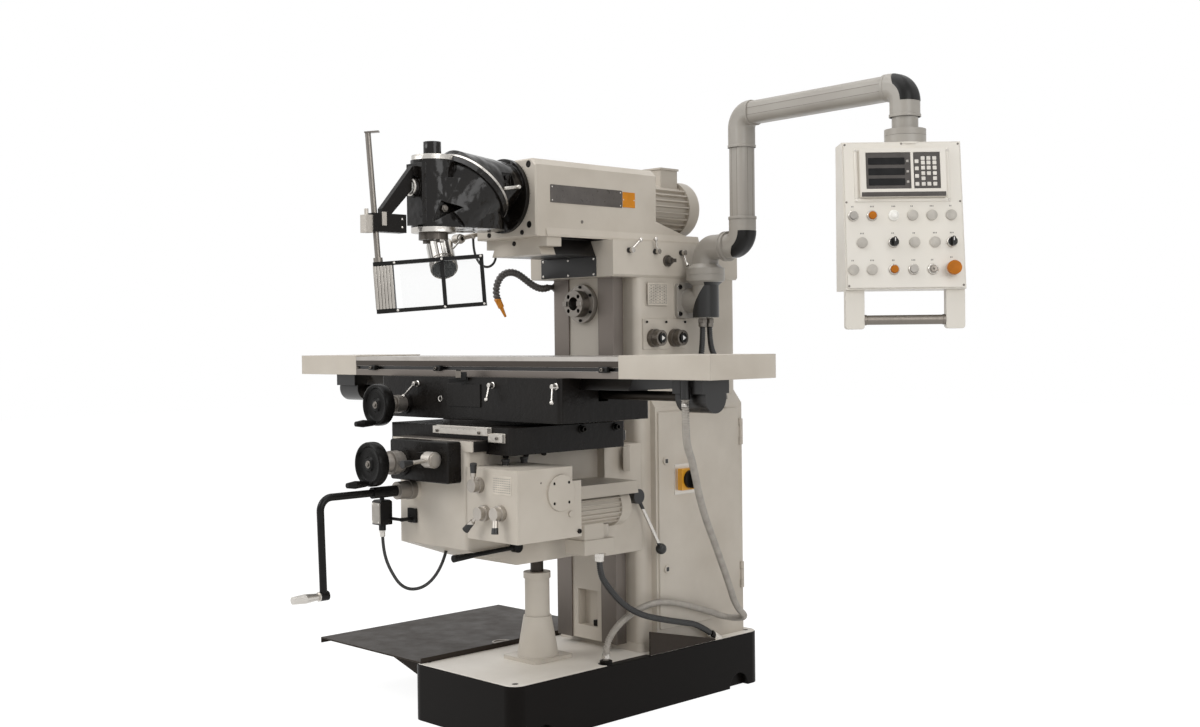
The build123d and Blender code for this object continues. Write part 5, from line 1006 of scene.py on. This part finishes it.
def dressRam():
    for name, spec in ramPlan["plates"].items():
        put(plate(spec["size"], spec["corner"]), name, "ram", spec["finish"], spec["at"], toRight, toBack)
    repeat(domeScrew(2.6, 1.4), "plateRivets", "ram", "steel", facing(ramPlan["rivets"], toRight))
    put(turned(ramPlan["oilPlug"], 20), "ramOilPlug", "ram", "darkScrew", ramPlan["oilPlugAt"], toRight)


def dressRamFace():
    repeat(turned(ramPlan["facePlug"], 28), "ramFacePlugs", "ram", "blackScrew",
           facing(ramPlan["facePlugs"], toFront))
    repeat(capScrew(7.5, 3), "ramLipScrews", "ram", "blackScrew", facing(ramPlan["lipScrews"], toFront))
    marks = ramPlan["marks"]
    bars = []
    for k in range(-marks["reach"], marks["reach"] + 1):
        for side in (0, 180):
            turn = math.radians(side + marks["each"] * k)
            tall = marks["long"] if k % 3 == 0 else marks["short"]
            x, rise = math.cos(turn), math.sin(turn)
            spot = (marks["radius"] * x, marks["y"], marks["z"] + marks["radius"] * rise)
            bars.append(((0.8, tall, 0.3), spot, toFront, (-rise, 0, x)))
    strokes("swivelScaleMarks", "ram", bars)


# Head: the graduated band of the inclined joint, the oil sight, the clamping bar and nuts.

headPlan = {
    "axis": (0, -0.70711, -0.70711), "centre": (0, -478, 1674),
    "band": [(133.8, 0), (135, 0), (135, 7.5), (133.8, 7.5), (133.8, 0)], "bandBack": 8,
    "ticks": {"count": 72, "radius": 135, "long": 6, "short": 3.5},
    "sight": [(0, 4), (18, 4), (19, 5.2), (24, 6), (26.8, 4), (27.2, 0), (0, 0)], "sightAt": (0, -703, 1666),
    "pane": [(0, 2), (12, 1.6), (17.6, 0.6), (17.8, 0), (0, 0)], "paneAt": (0, -706.9, 1666),
    "bar": {"start": (135, -400, 1675), "end": (138, -456, 1667)},
    "stud": [(0, 0), (6.2, 0), (6.2, 50), (5.2, 52), (0, 52)], "studAt": (94, -401, 1675),
    "nut": {"radius": 12.5, "height": 9, "rim": 1.2, "lift": 1, "at": (52, -624, 1603)},
    "nutTip": [(0, 14.8), (7.2, 14.8), (8.4, 13.6), (8.4, 0), (0, 0)],
    "clampScrews": [(18, -750, z) for z in (1543, 1567)],
}


def dressHead():
    axis, centre = Vector(headPlan["axis"]), Vector(headPlan["centre"])
    put(turned(headPlan["band"], 120), "tiltScaleBand", "swivel_housing", "steel",
        centre - axis * headPlan["bandBack"], axis)
    ticks = headPlan["ticks"]
    side = Vector(toRight)
    other = axis.cross(side)
    bars = []
    for k in range(ticks["count"]):
        turn = 2 * math.pi * k / ticks["count"]
        outward = side * math.cos(turn) + other * math.sin(turn)
        tall = ticks["long"] if k % 6 == 0 else ticks["short"]
        spot = centre - axis * (0.5 + tall / 2) + outward * ticks["radius"]
        bars.append(((0.7, tall, 0.3), spot, outward, axis.cross(outward)))
    strokes("tiltScaleTicks", "swivel_housing", bars)
    put(turned(headPlan["sight"], 40), "oilSight", "head", "steel", headPlan["sightAt"], toFront)
    put(turned(headPlan["pane"], 32), "oilSightPane", "head", "lens", headPlan["paneAt"], toFront)


def dressHeadSide():
    start, end = Vector(headPlan["bar"]["start"]), Vector(headPlan["bar"]["end"])
    length = (end - start).length
    bar = turned([(0, 0), (4.8, 0.4), (5.5, 2), (5.2, length - 2), (4.4, length), (0, length)], 18)
    stud = turned(headPlan["stud"], 18)
    parts = [lay(bar, start, end - start), lay(stud, headPlan["studAt"], toRight)]
    done(gather(parts), "swivelClampBar", "swivel_housing", "steel")
    nut = headPlan["nut"]
    x, y, z = nut["at"]
    studs = []
    for side in bothWays:
        hexagon = hexNut(nut["radius"], nut["height"], onTop, nut["rim"], nut["lift"])
        tip = turned(headPlan["nutTip"], 24)
        studs.append(lay(gather([hexagon, tip]), (side * x, y, z), (side, 0, 0)))
    done(gather(studs), "pocketNuts", "head", "darkScrew")
    repeat(domeScrew(3.6, 1.8), "guardClampScrews", "head", "steel",
           facing(headPlan["clampScrews"], toRight))


# Table: trip dogs in the front groove, the stop block and its roller, the small clamp levers.

tablePlan = {
    "dog": (34, 12, 17), "dogs": (-528, -174, 580), "dogAt": (-477.5, 1120.5), "dogScrewAt": (-483.5, 1120.5),
    "stop": [((86, 14, 13), (0, -517, 1086.5)), ((26, 20, 26), (6, -522, 1098)),
             ((14, 12, 34), (-18, -518, 1102))],
    "roller": {"size": (17, 7, 22), "at": (4, -536, 1104)},
    "holeRing": [(6.2, 0.6), (9.5, 1.2), (10, 0.6), (10, 0), (6.2, 0), (6.2, 0.6)], "holeAt": (-121, -510, 1026),
    "levers": [(-235, (-33.8, -15.6, -37.7)), (137, (5.2, -15.6, -39)), (418, (13, -15.6, -41.6))],
    "leverY": -510, "leverZ": 1072, "rodStart": 15, "rodRadius": 3, "knobBack": 3,
    "hub": [(0, 20), (6, 20), (7.5, 18.5), (7.5, 4), (10, 3), (10, 0), (0, 0)],
    "knob": [(0, 0), (3.5, 0.5), (5.8, 3), (6.5, 6.5), (5.8, 10), (3.5, 12.5), (0, 13)],
}


def dressTable():
    plan = tablePlan
    repeat(block(plan["dog"], 2, 3), "tripDogs", "table", "plastic",
           [((x, *plan["dogAt"]), upward, toRight) for x in plan["dogs"]])
    repeat(capScrew(5.5, 6), "dogScrews", "table", "darkScrew",
           [((x, *plan["dogScrewAt"]), toFront) for x in plan["dogs"]])
    stop = [lay(block(size, 1.5), place) for size, place in plan["stop"]]
    done(gather(stop), "tripStop", "swivel_carrier", "plastic")
    for n, (x, reach) in enumerate(plan["levers"], 1):
        start = Vector((x, plan["leverY"] - plan["rodStart"], plan["leverZ"]))
        reach = Vector(reach)
        length, radius = reach.length, plan["rodRadius"]
        rod = turned([(0, 0), (radius, 0), (radius, length), (0, length)], 14)
        parts = [lay(turned(plan["hub"], 24), (x, plan["leverY"], plan["leverZ"]), toFront),
                 lay(rod, start, reach),
                 lay(turned(plan["knob"], 18), start + reach - reach.normalized() * plan["knobBack"], reach)]
        done(gather(parts), "tableClampLever." + str(n), "swivel_carrier", "steel")


def dressCarrier():
    ring, roller = tablePlan["holeRing"], tablePlan["roller"]
    put(turned(ring, 32), "carrierHoleRing", "swivel_carrier", "steel", tablePlan["holeAt"], toFront)
    put(block(roller["size"], 1.6, 3), "tripRoller", "swivel_carrier", "barSteel", roller["at"])


# Saddle: gib bolts, screws and graduations of the swivel scale.

saddlePlan = {
    "bolts": [(291, y, 934) for y in (-290, -145)],
    "boltSeat": [(0, 4), (12.5, 4), (13.5, 3), (13.5, 0), (0, 0)],
    "scaleScrews": [(-30, -594, 934), (170, -594, 934), (246, -590, 920)],
    "ticks": {"count": 31, "first": -15, "pitch": 5.6, "y": -594.1, "top": 947.5, "long": 8, "short": 5},
}


def dressGibs():
    bolts = facing(saddlePlan["bolts"], toRight)
    repeat(turned(saddlePlan["boltSeat"], 28), "gibBoltSeats", "lower_saddle", "black", bolts)
    repeat(capScrew(9.5, 14), "gibBolts", "lower_saddle", "blackScrew", bolts)


def dressSaddle():
    repeat(capScrew(4.8, 4), "scaleScrews", "lower_saddle", "darkScrew",
           facing(saddlePlan["scaleScrews"], toFront))
    ticks = saddlePlan["ticks"]
    bars = []
    for k in range(ticks["count"]):
        tall = ticks["long"] if k % 5 == 0 else ticks["short"]
        x = ticks["first"] + ticks["pitch"] * k
        bars.append(((0.8, 0.3, tall), (x, ticks["y"], ticks["top"] - tall / 2)))
    strokes("scaleTicks", "lower_saddle", bars)


# Knee: gearbox cover and chart, plugs, oil caps, the two switches.

kneePlan = {
    "coverScrews": [(394.5, -475 + sy * 29, 762 + sz * 29) for sy in bothWays for sz in bothWays],
    "chart": {"size": (84, 54, 0.6), "at": (326.5, -641, 791.5)},
    "figures": {"size": (5.4, 1.5, 0.3), "first": (293, -641.9, 772), "rows": 7, "columns": 8,
                "pitch": (9.6, 6.5)},
    "blackPlug": (392, -402, 643), "brightPlug": (392, -434, 694), "smallScrew": (392, -550, 796),
    "oilCaps": [(168, y, 858) for y in (-493, -413, -340)],
    "travelSwitch": {"size": (24, 60, 78), "at": (211, -16, 823), "slot": (3, 9, 24), "slotAt": (223, -16, 820)},
    "lid": {"size": (40, 64, 3), "at": (-165, -727, 682)},
    "lidScrews": [(-165 + sx * 15, -731, 682 + sz * 27) for sx in bothWays for sz in bothWays],
}


def dressKnee():
    repeat(capScrew(4.3, 4), "gearCoverScrews", "knee", "blackScrew",
           facing(kneePlan["coverScrews"], toRight))
    chart, figures = kneePlan["chart"], kneePlan["figures"]
    put(plate(chart["size"], 3), "feedChart", "knee", "chartPlate", chart["at"], toFront, toRight)
    (x, y, z), (across, rise) = figures["first"], figures["pitch"]
    strokes("feedChartMarks", "knee", [(figures["size"], (x + across * c, y, z + rise * r), toFront, toRight)
                                       for r in range(figures["rows"]) for c in range(figures["columns"])])


def dressGearbox():
    lid = kneePlan["lid"]
    put(plate(lid["size"], 4, 1.2), "switchLid", "knee", "grey", lid["at"], toFront, toRight)
    repeat(domeScrew(2.8, 1.4), "switchLidScrews", "knee", "steel", facing(kneePlan["lidScrews"], toFront))
    put(capScrew(6.8, 5), "gearboxPlugs", "knee", "blackScrew", kneePlan["blackPlug"], toRight)
    put(capScrew(6, 4), "gearboxSidePlugs", "knee", "darkScrew", kneePlan["brightPlug"], toRight)
    put(domeScrew(3, 1.6), "gearboxSmallScrew", "knee", "darkScrew", kneePlan["smallScrew"], toRight)


def dressKneeSide():
    repeat(capScrew(7.5, 10), "kneeOilCaps", "knee", "blackScrew", facing(kneePlan["oilCaps"], toRight))
    switch = kneePlan["travelSwitch"]
    put(block(switch["size"], 3, 3), "travelSwitch", "knee", "cream", switch["at"])
    # the switch's slot as a dark bar: painted shade of the opening
    put(block(switch["slot"]), "travelSwitchSlotShade", "knee", "print", switch["slotAt"])


# Guard: fluted alloy profile beside the post, rivets on the frame bars.

guardAt = {"origin": (0, -835, 1555), "right": (0.69812, 0.71290, 0.06627), "up": (-0.04637, -0.04735, 0.99780)}
guardPlan = {
    "y": -192, "flute": (8.4, 126, 3.4), "flutes": 6, "pitch": 9.3, "fluteLevel": 12.6,
    "web": (55, 126, 1.6), "webX": 14, "webLevel": 11.2,
    "edge": (3, 126, 7.4), "edgeX": -13.9, "edgeLevels": (-8, 0, 8),
    "rivets": [(x, y) for x in (48, 186, 300) for y in (-122.5, -261.5)], "rivetLevel": 13,
}


def dressGuard():
    plan = guardPlan
    right, up = Vector(guardAt["right"]), Vector(guardAt["up"])
    front = right.cross(up)

    def onGuard(x, y, level):
        return Vector(guardAt["origin"]) + right * x + up * y + front * level

    parts = []
    for side in bothWays:
        for k in range(plan["flutes"]):
            spot = onGuard(plan["pitch"] * (k - 1), plan["y"], side * plan["fluteLevel"])
            parts.append(lay(block(plan["flute"], 1.4, 3), spot, front, right))
    for side in bothWays:
        spot = onGuard(plan["webX"], plan["y"], side * plan["webLevel"])
        parts.append(lay(block(plan["web"], 0.5), spot, front, right))
    for level in plan["edgeLevels"]:
        parts.append(lay(block(plan["edge"], 1.2, 3), onGuard(plan["edgeX"], plan["y"], level), front, right))
    done(gather(parts), "guardProfile", "guard", "profile")
    repeat(domeScrew(3.4, 1.8), "guardRivets", "guard", "steel",
           [(onGuard(x, y, plan["rivetLevel"]), front) for x, y in plan["rivets"]])


# Fittings: gland nuts where conduits enter, clamps and seat of the drain hose, the bolt in the column's window.

fittings = {
    "columnGlands": [((275, 288, 1270), downward), ((275, 322, 1270), downward), ((212, 320, 1003), upward),
                     ((212, 462, 996), upward)],
    "conduitNut": 16.5, "cableNut": 10, "motorGland": (300, -230, 549), "switchGland": (-165, -706, 634),
    "hoseRadius": 11.2, "clampScrew": (8, 13, 9), "clampTurn": (1, -1, 0),
    "hoseClamps": {"upperHoseClamp": ("table", (816, -400, 1024)),
                   "lowerHoseClamp": ("frame", (224, -132, 206))},
    "windowBolt": (22, 26, 250),
    "seat": [(20, 0.8), (24.8, 0.8), (25.4, 0.3), (25.4, 0), (20, 0), (20, 0.8)], "seatAt": (224, -132, 180),
    "band": [(11.5, 0), (13.2, 0), (13.6, 0.6), (13.6, 8.4), (13.2, 9), (11.5, 9), (11.5, 0)],
    "bandAt": (224, -132, 197),
}


def gland(radius):
    nut = hexNut(radius, 12, atEnds, radius * 0.10, 1.2)
    collar = [(0, 26), (radius * 0.72, 26), (radius * 0.84, 24), (radius * 0.84, 12), (0, 12)]
    return gather([nut, turned(collar, 28)])


def hoseClamp(radius):
    band = [(radius, -5), (radius + 1.2, -5), (radius + 1.2, 5), (radius, 5), (radius, -5)]
    return gather([turned(band, 36), lay(block(fittings["clampScrew"], 1.2), (radius + 4, 0, 0))])


def dressFittings():
    repeat(gland(fittings["conduitNut"]), "columnGlands", "frame", "darkScrew", fittings["columnGlands"])
    put(gland(fittings["conduitNut"]), "motorGland", "knee", "steel", fittings["motorGland"], downward)
    put(gland(fittings["cableNut"]), "switchGland", "knee", "steel", fittings["switchGland"], downward)
    for name, (body, spot) in fittings["hoseClamps"].items():
        put(hoseClamp(fittings["hoseRadius"]), name, body, "steel", spot, upward, fittings["clampTurn"])


def dressFoot():
    put(capScrew(11.5, 17), "windowBolt", "frame", "blackScrew", fittings["windowBolt"])
    put(turned(fittings["seat"], 44), "drainSeat", "frame", "plastic", fittings["seatAt"])
    put(turned(fittings["band"], 36), "drainClamp", "frame", "steel", fittings["bandAt"])


# Arm: black covers on the outside of two elbows, raised bands, grooves drawn as dark lines of painted shade, the
# handle's bar, the foot's screws.

armAt = {"post": (437, 305), "along": (0.99768, -0.06802), "reach": 653, "beam": 1932, "link": 1508, "bend": 46,
         "half": 40}
armPlan = {
    "cover": {"corner": 30, "proud": 0.9, "wall": 2.2, "lowCut": 17, "highCut": 31},
    "handle": [(0, 116), (14.6, 116), (15, 115.5), (15, 109), (13.7, 108), (13.6, 0), (13.7, -108), (15, -109),
               (15, -115.5), (14.6, -116), (0, -116)],
    "handleAt": (1131.4, 184.95, 1252), "handleAlong": (0.69966, 0.71447, 0),
    "postBand": (84, 84, 8), "postBands": (1592, 1824), "endBand": 1840, "beamBand": (79.6, 84, 8),
    "beamBands": (48, 593),
    "footRing": [(46, -3), (48.5, -3), (49.5, -2), (49.5, 2), (48.5, 3), (46, 3), (46, -3)],
    "footRings": (364, 377),
    "groove": {"apart": 11, "out": 36, "beam": (536, 1.2, 0.5), "beamMiddle": 324.5, "post": (1.2, 223, 0.5),
               "postMiddle": 1712},
    "flange": [(205, y, z) for y in (253, 357) for z in (1289, 1379)],
    "washer": [(6.6, 0), (10.5, 0), (10.5, 1.4), (10, 1.8), (6.6, 1.8), (6.6, 0)],
}


def elbowCover():
    # half shell over the outside of an elbow, from +x to +y, cut off along a slanting line
    cover, bend, half = armPlan["cover"], armAt["bend"], armAt["half"]
    corner, radius = cover["corner"], cover["corner"] + cover["proud"]
    outline = []
    for k in range(9):
        turn = math.radians(-84 + 10.5 * k)
        outline.append((bend + half - corner + radius * math.cos(turn), corner - half + radius * math.sin(turn)))
    outline += [(r, -z) for r, z in reversed(outline)]
    piece = turned(outline, 20, -90)
    first = Vector(mm(cover["lowCut"], bend + half - 1, 0))
    edge = Vector(mm(bend + half - cover["highCut"], 0, 0)) - first
    cut = {"plane_co": tuple(first), "plane_no": (-edge.y, edge.x, 0), "clear_inner": True}
    shape(piece, "FACE", everything, (bpy.ops.mesh.bisect, cut),
          (bpy.ops.mesh.select_all, {"action": "SELECT"}),
          (bpy.ops.mesh.normals_make_consistent, {"inside": False}))
    wall = piece.modifiers.new("wall", "SOLIDIFY")
    wall.thickness = cover["wall"] / 1000
    wall.offset = -1
    bpy.ops.object.modifier_apply(modifier="wall")
    return piece


def dressArm():
    (px, py), (ux, uy) = armAt["post"], armAt["along"]
    along, side = (ux, uy, 0), (uy, -ux, 0)
    beam, link, bend = armAt["beam"], armAt["link"], armAt["bend"]

    def out(reach, z):
        # a point on the beam's line, seen from the post
        return (px + ux * reach, py + uy * reach, z)

    bendAt = out(armAt["reach"] - bend, beam - bend)
    put(elbowCover(), "endElbowCover", "swing_arm", "plastic", bendAt, side, along)
    put(elbowCover(), "lowerElbowCover", "swing_arm", "plastic", (px - bend, py, link + bend), toBack, toRight)
    put(turned(armPlan["handle"], 32), "handleBar", "pendant", "barSteel", armPlan["handleAt"],
        armPlan["handleAlong"])
    spots = [out(0, z) for z in armPlan["postBands"]] + [out(armAt["reach"], armPlan["endBand"])]
    bands = [lay(plate(armPlan["postBand"], 31.5, 1.2), spot, upward, along) for spot in spots]
    for reach in armPlan["beamBands"]:
        bands.append(lay(plate(armPlan["beamBand"], 30, 1.2), out(reach, beam), along, upward))
    for x in armPlan["footRings"]:
        bands.append(lay(turned(armPlan["footRing"], 56), (x, py, link), toRight))
    done(gather(bands), "armBands", "swing_arm", "armPaint")
    # painted shade: each groove is a thin dark line laid on the surface
    groove = armPlan["groove"]
    bars = []
    for rise in (-groove["apart"], groove["apart"]):
        x, y, z = out(groove["beamMiddle"], beam + rise)
        bars.append((groove["beam"], (x + uy * groove["out"], y - ux * groove["out"], z), side, along))
        for ax, ay in ((ux, uy), (uy, -ux)):
            x, y = px + ax * groove["out"] - ay * rise, py + ay * groove["out"] + ax * rise
            bars.append((groove["post"], (x, y, groove["postMiddle"]), (ax, ay, 0), (-ay, ax, 0)))
    strokes("armGrooveShadeLines", "swing_arm", bars, "darkScrew", 0.1)
    flange = facing(armPlan["flange"], toRight)
    repeat(turned(armPlan["washer"], 28), "flangeWashers", "frame", "steel", flange)
    repeat(capScrew(6.8, 6.2), "flangeScrews", "frame", "blackScrew", flange)


# Lamp: the pivot's washer and screw, rings round the mouth, its glass, coloured near black as painted shade of
# the lamp's inside.

lampPlan = {
    "pivotOut": 19, "washer": [(6.2, 0), (12.8, 0), (13.2, 0.6), (12.8, 2.4), (7.2, 3), (6.2, 2.4), (6.2, 0)],
    "ring": [(42.4, -3), (44, -2.2), (44, 2.2), (42.4, 3), (42.4, -3)], "rings": (48, 38, 28),
    "glass": [(0, 3), (20, 2.4), (35, 0.8), (38.8, -1), (38.8, -4), (0, -4)], "glassOut": 47,
}


def dressLamp():
    axis, centre = Vector(lampAt["axis"]).normalized(), Vector(lampAt["centre"])
    pivot = Vector(lampAt["knuckle"]) + Vector(toRight) * lampPlan["pivotOut"]
    put(turned(lampPlan["washer"], 32), "lampWasher", "lamp_head", "profile", pivot, toRight)
    put(capScrew(6.4, 2.4), "lampPivotScrew", "lamp_head", "blackScrew", pivot, toRight)
    rings = [lay(turned(lampPlan["ring"], 48), centre + axis * reach, axis) for reach in lampPlan["rings"]]
    done(gather(rings), "lampRings", "lamp_head", "darkScrew")
    # the glass takes a near black finish: painted shade of the unlit inside behind it
    mouth = centre + axis * lampPlan["glassOut"]
    put(turned(lampPlan["glass"], 48), "lampGlass", "lamp_head", "display", mouth, axis)


# Handwheels: dished wheels with a deep rounded rim, hub nuts, graduations of the dials behind them.

wheelPlan = {
    "dish": [(0, 13), (10, 13.6), (16, 13), (20, 10.5), (24, 7.4), (34, 6.6), (46, 6.8), (50.5, 9), (53, 13.5),
             (57, 17), (61, 17.4), (64.6, 15), (66.6, 10), (67, 3), (67, -8), (66, -15), (63.4, -19), (60.4, -18),
             (58.6, -13), (57.4, -6.2), (40, -5.4), (0, -5.4)],
    "nut": [(0, 19), (5.4, 19), (6.6, 18), (6.6, 14.4), (11, 14), (12, 13), (12, 12), (0, 12)],
    "wheels": {"cross_handwheel": {"at": (-80, -803, 842), "dialY": -729, "dialRadius": 36},
               "table_handwheel": {"at": (-305, -615, 1006), "dialY": -549, "dialRadius": 29}},
    "ticks": {"count": 50, "long": 11, "short": 7},
}


def dressWheels():
    for body, spec in wheelPlan["wheels"].items():
        dish = lay(turned(wheelPlan["dish"], 72), spec["at"], toFront)
        done(dish, body + ".dish", body, "lever", angle=28)
        put(turned(wheelPlan["nut"], 24), body + ".nut", body, "darkScrew", spec["at"], toFront)


def dressDials():
    ticks = wheelPlan["ticks"]
    for body, spec in wheelPlan["wheels"].items():
        x, y, z = spec["at"]
        bars = []
        for k in range(ticks["count"]):
            turn = 2 * math.pi * k / ticks["count"]
            out = (math.cos(turn), 0, math.sin(turn))
            tall = ticks["long"] if k % 5 == 0 else ticks["short"]
            spot = (x + spec["dialRadius"] * out[0], spec["dialY"], z + spec["dialRadius"] * out[2])
            bars.append(((0.6, tall, 0.3), spot, out, (-out[2], 0, out[0])))
        strokes(body + ".graduations", body, bars)


# Rear and left side, which the camera does not see: fan slots drawn as black rings of painted shade, covers, vent
# hoods, oil glasses and plugs.

rearPlan = {
    "slots": (20, 36, 52, 68), "slotWide": 7, "slotDeep": 0.5, "fanAt": (0, 485, 1661),
    "coverScrews": [(x, 566, z) for x in (-118, 118) for z in (714, 925, 1136)],
}
farSide = {
    "column": {"at": (-190, 318, 640), "size": (300, 420), "hoods": 7, "pitch": 26, "hood": (150, 11, 8)},
    "knee": {"at": (-168, -300, 715), "size": (190, 120)},
    "glasses": {"frame": (-190, 150, 1240), "knee": (-168, -520, 700)},
    "ring": [(10, 5), (15, 5.6), (17.6, 4), (18, 0), (10, 0), (10, 5)],
    "glass": [(0, 3.6), (7, 3.4), (10.4, 3), (10.4, 0), (0, 0)],
    "plugs": {"frame": (-190, 150, 1320), "knee": (-168, -520, 770)},
    "pendant": {"depth": 104, "drop": 212, "size": (290, 360)},
    "cover": {"thick": 3, "corner": 8, "rim": 0.8, "screwIn": 13},
}


def dressRear():
    # the fan cover's slots as thin black rings: painted shade where the openings are
    wide, deep = rearPlan["slotWide"], rearPlan["slotDeep"]
    slots = []
    for radius in rearPlan["slots"]:
        ring = [(radius, deep), (radius + wide, deep), (radius + wide, 0), (radius, 0), (radius, deep)]
        slots.append(lay(turned(ring, 64), rearPlan["fanAt"], toBack))
    done(gather(slots), "fanSlotShadeRings", "ram", "plastic")
    repeat(domeScrew(5.5, 3), "rearCoverScrews", "frame", "steel", facing(rearPlan["coverScrews"], toBack))
    dressDials()


def screwedPlate(name, body, finish, size, spot, axis, across):
    # thin cover with a screw in each corner and halfway down its long sides
    (wide, tall), cover = size, farSide["cover"]
    sheet = plate((wide, tall, cover["thick"]), cover["corner"], cover["rim"])
    put(sheet, name, body, finish, spot, axis, across)
    out, right = Vector(axis).normalized(), Vector(across).normalized()
    up = out.cross(right)
    halfWide, halfTall = wide / 2 - cover["screwIn"], tall / 2 - cover["screwIn"]
    places = []
    for sx in bothWays:
        for sy in (-1, 0, 1):
            place = Vector(spot) + right * (sx * halfWide) + up * (sy * halfTall) + out * cover["thick"]
            places.append((place, out))
    repeat(domeScrew(4.5, 2.4), name + "Screws", body, "steel", places)


def dressFarSide():
    column, knee, pendant = farSide["column"], farSide["knee"], farSide["pendant"]
    screwedPlate("leftCover", "frame", "cream", column["size"], column["at"], toLeft, toBack)
    x, y, z = column["at"]
    face = x - farSide["cover"]["thick"]
    rises = [column["pitch"] * (k - column["hoods"] // 2) for k in range(column["hoods"])]
    hoods = [((face, y, z + rise), toLeft, toBack) for rise in rises]
    repeat(block(column["hood"], 3.6, 4), "ventHoods", "frame", "cream", hoods)
    screwedPlate("kneeSideCover", "knee", "cream", knee["size"], knee["at"], toLeft, toBack)
    for body, spot in farSide["glasses"].items():
        put(turned(farSide["ring"], 40), body + ".oilRing", body, "steel", spot, toLeft)
        put(turned(farSide["glass"], 32), body + ".oilGlass", body, "lens", spot, toLeft)
    for body, spot in farSide["plugs"].items():
        put(capScrew(13, 10), body + ".oilPlug", body, "blackScrew", spot, toLeft)
    right = Vector(panelAt["right"])
    front = right.cross(Vector(upward))
    spot = Vector(panelAt["origin"]) - front * pendant["depth"] - Vector(upward) * pendant["drop"]
    screwedPlate("pendantRearCover", "pendant", "pendant", pendant["size"], spot, -front, -right)


stages = {
    "pendant": [dressPendant], "column": [dressColumn], "ram": [dressRam, dressRamFace],
    "head": [dressHead, dressHeadSide], "table": [dressTable, dressCarrier], "saddle": [dressGibs, dressSaddle],
    "knee": [dressKnee, dressGearbox, dressKneeSide], "handwheels": [dressWheels], "rear": [dressRear],
    "far side": [dressFarSide], "guard": [dressGuard], "fittings": [dressFittings, dressFoot], "arm": [dressArm],
    "lamp": [dressLamp],
}
for stage, steps in stages.items():
    for step in steps:
        step()
    print(stage, "dressed")

# Floor, light and camera.

studio = {
    "floor": "f4f3f1", "floorSize": 40, "world": 0.32, "backdrop": 1.0, "floorShare": 0.70, "floorGlow": 1.31,
    "lamps": {"keyLight": ((-2.6, -5.2, 4.6), 3.4, 196), "sideLight": ((5.2, -1.2, 3.0), 3.0, 88),
              "topLight": ((0.4, -0.6, 5.2), 4.0, 96)},
    "aim": (0.1, -0.1, 1.1),
}
# focal and width are in pixels of the picture
camera = {"place": (3.3979, -3.2514, 1.2033), "turn": 45.6, "pitch": 0.94, "roll": -0.66, "focal": 1411.0,
          "width": 1200}
white = (1, 1, 1, 1)


def makeFloor():
    fresh()
    bpy.ops.mesh.primitive_plane_add(size=studio["floorSize"], location=(0, 0, 0))
    floor = bpy.context.object
    floor.name = "studioFloor"
    made = Finish("pale floor")
    made.set(color=linear(studio["floor"]), rough=0.9)
    glow = made.node("ShaderNodeEmission", None, {"Color": white, "Strength": studio["floorGlow"]})
    inputs = {0: made.seen() * studio["floorShare"], 1: Val(made, made.shader.outputs[0]), 2: glow}
    mixed = made.node("ShaderNodeMixShader", None, inputs)
    made.feed(made.tree.nodes["Material Output"].inputs[0], mixed)
    floor.data.materials.append(made.material)


def makeLight():
    world = bpy.data.worlds.new("studioWorld")
    bpy.context.scene.world = world
    world.use_nodes = True
    made = Nodes(world.node_tree)
    background = made.tree.nodes["Background"].inputs
    made.feed(background[0], white)
    made.feed(background[1], made.ramp(made.seen(), 0.0, 1.0, studio["world"], studio["backdrop"]))
    for name, (place, size, power) in studio["lamps"].items():
        lamp = bpy.data.lights.new(name, "AREA")
        lamp.size = size
        lamp.energy = power
        holder = bpy.data.objects.new(name, lamp)
        holder.location = place
        holder.rotation_euler = (Vector(studio["aim"]) - Vector(place)).to_track_quat("-Z", "Y").to_euler()
        bpy.context.scene.collection.objects.link(holder)


def makeCamera():
    turn, pitch, roll = (math.radians(camera[k]) for k in ("turn", "pitch", "roll"))
    right = Vector((math.cos(turn), math.sin(turn), 0))
    ahead = Vector((-math.sin(turn) * math.cos(pitch), math.cos(turn) * math.cos(pitch), -math.sin(pitch)))
    up = right.cross(ahead)
    sideways = right * math.cos(roll) + up * math.sin(roll)
    upright = up * math.cos(roll) - right * math.sin(roll)
    lens = bpy.data.cameras.new("photoCamera")
    lens.sensor_width = 36.0
    lens.sensor_fit = "HORIZONTAL"
    lens.lens = camera["focal"] / camera["width"] * lens.sensor_width
    lens.clip_end = 100
    eye = bpy.data.objects.new("photoCamera", lens)
    bpy.context.scene.collection.objects.link(eye)
    eye.matrix_world = Matrix((
        (sideways.x, upright.x, -ahead.x, camera["place"][0]),
        (sideways.y, upright.y, -ahead.y, camera["place"][1]),
        (sideways.z, upright.z, -ahead.z, camera["place"][2]),
        (0, 0, 0, 1)))
    bpy.context.scene.camera = eye


makeFloor()
makeLight()
makeCamera()
bpy.context.scene.view_settings.view_transform = "Standard"
bpy.context.view_layer.update()
print("scene ready")
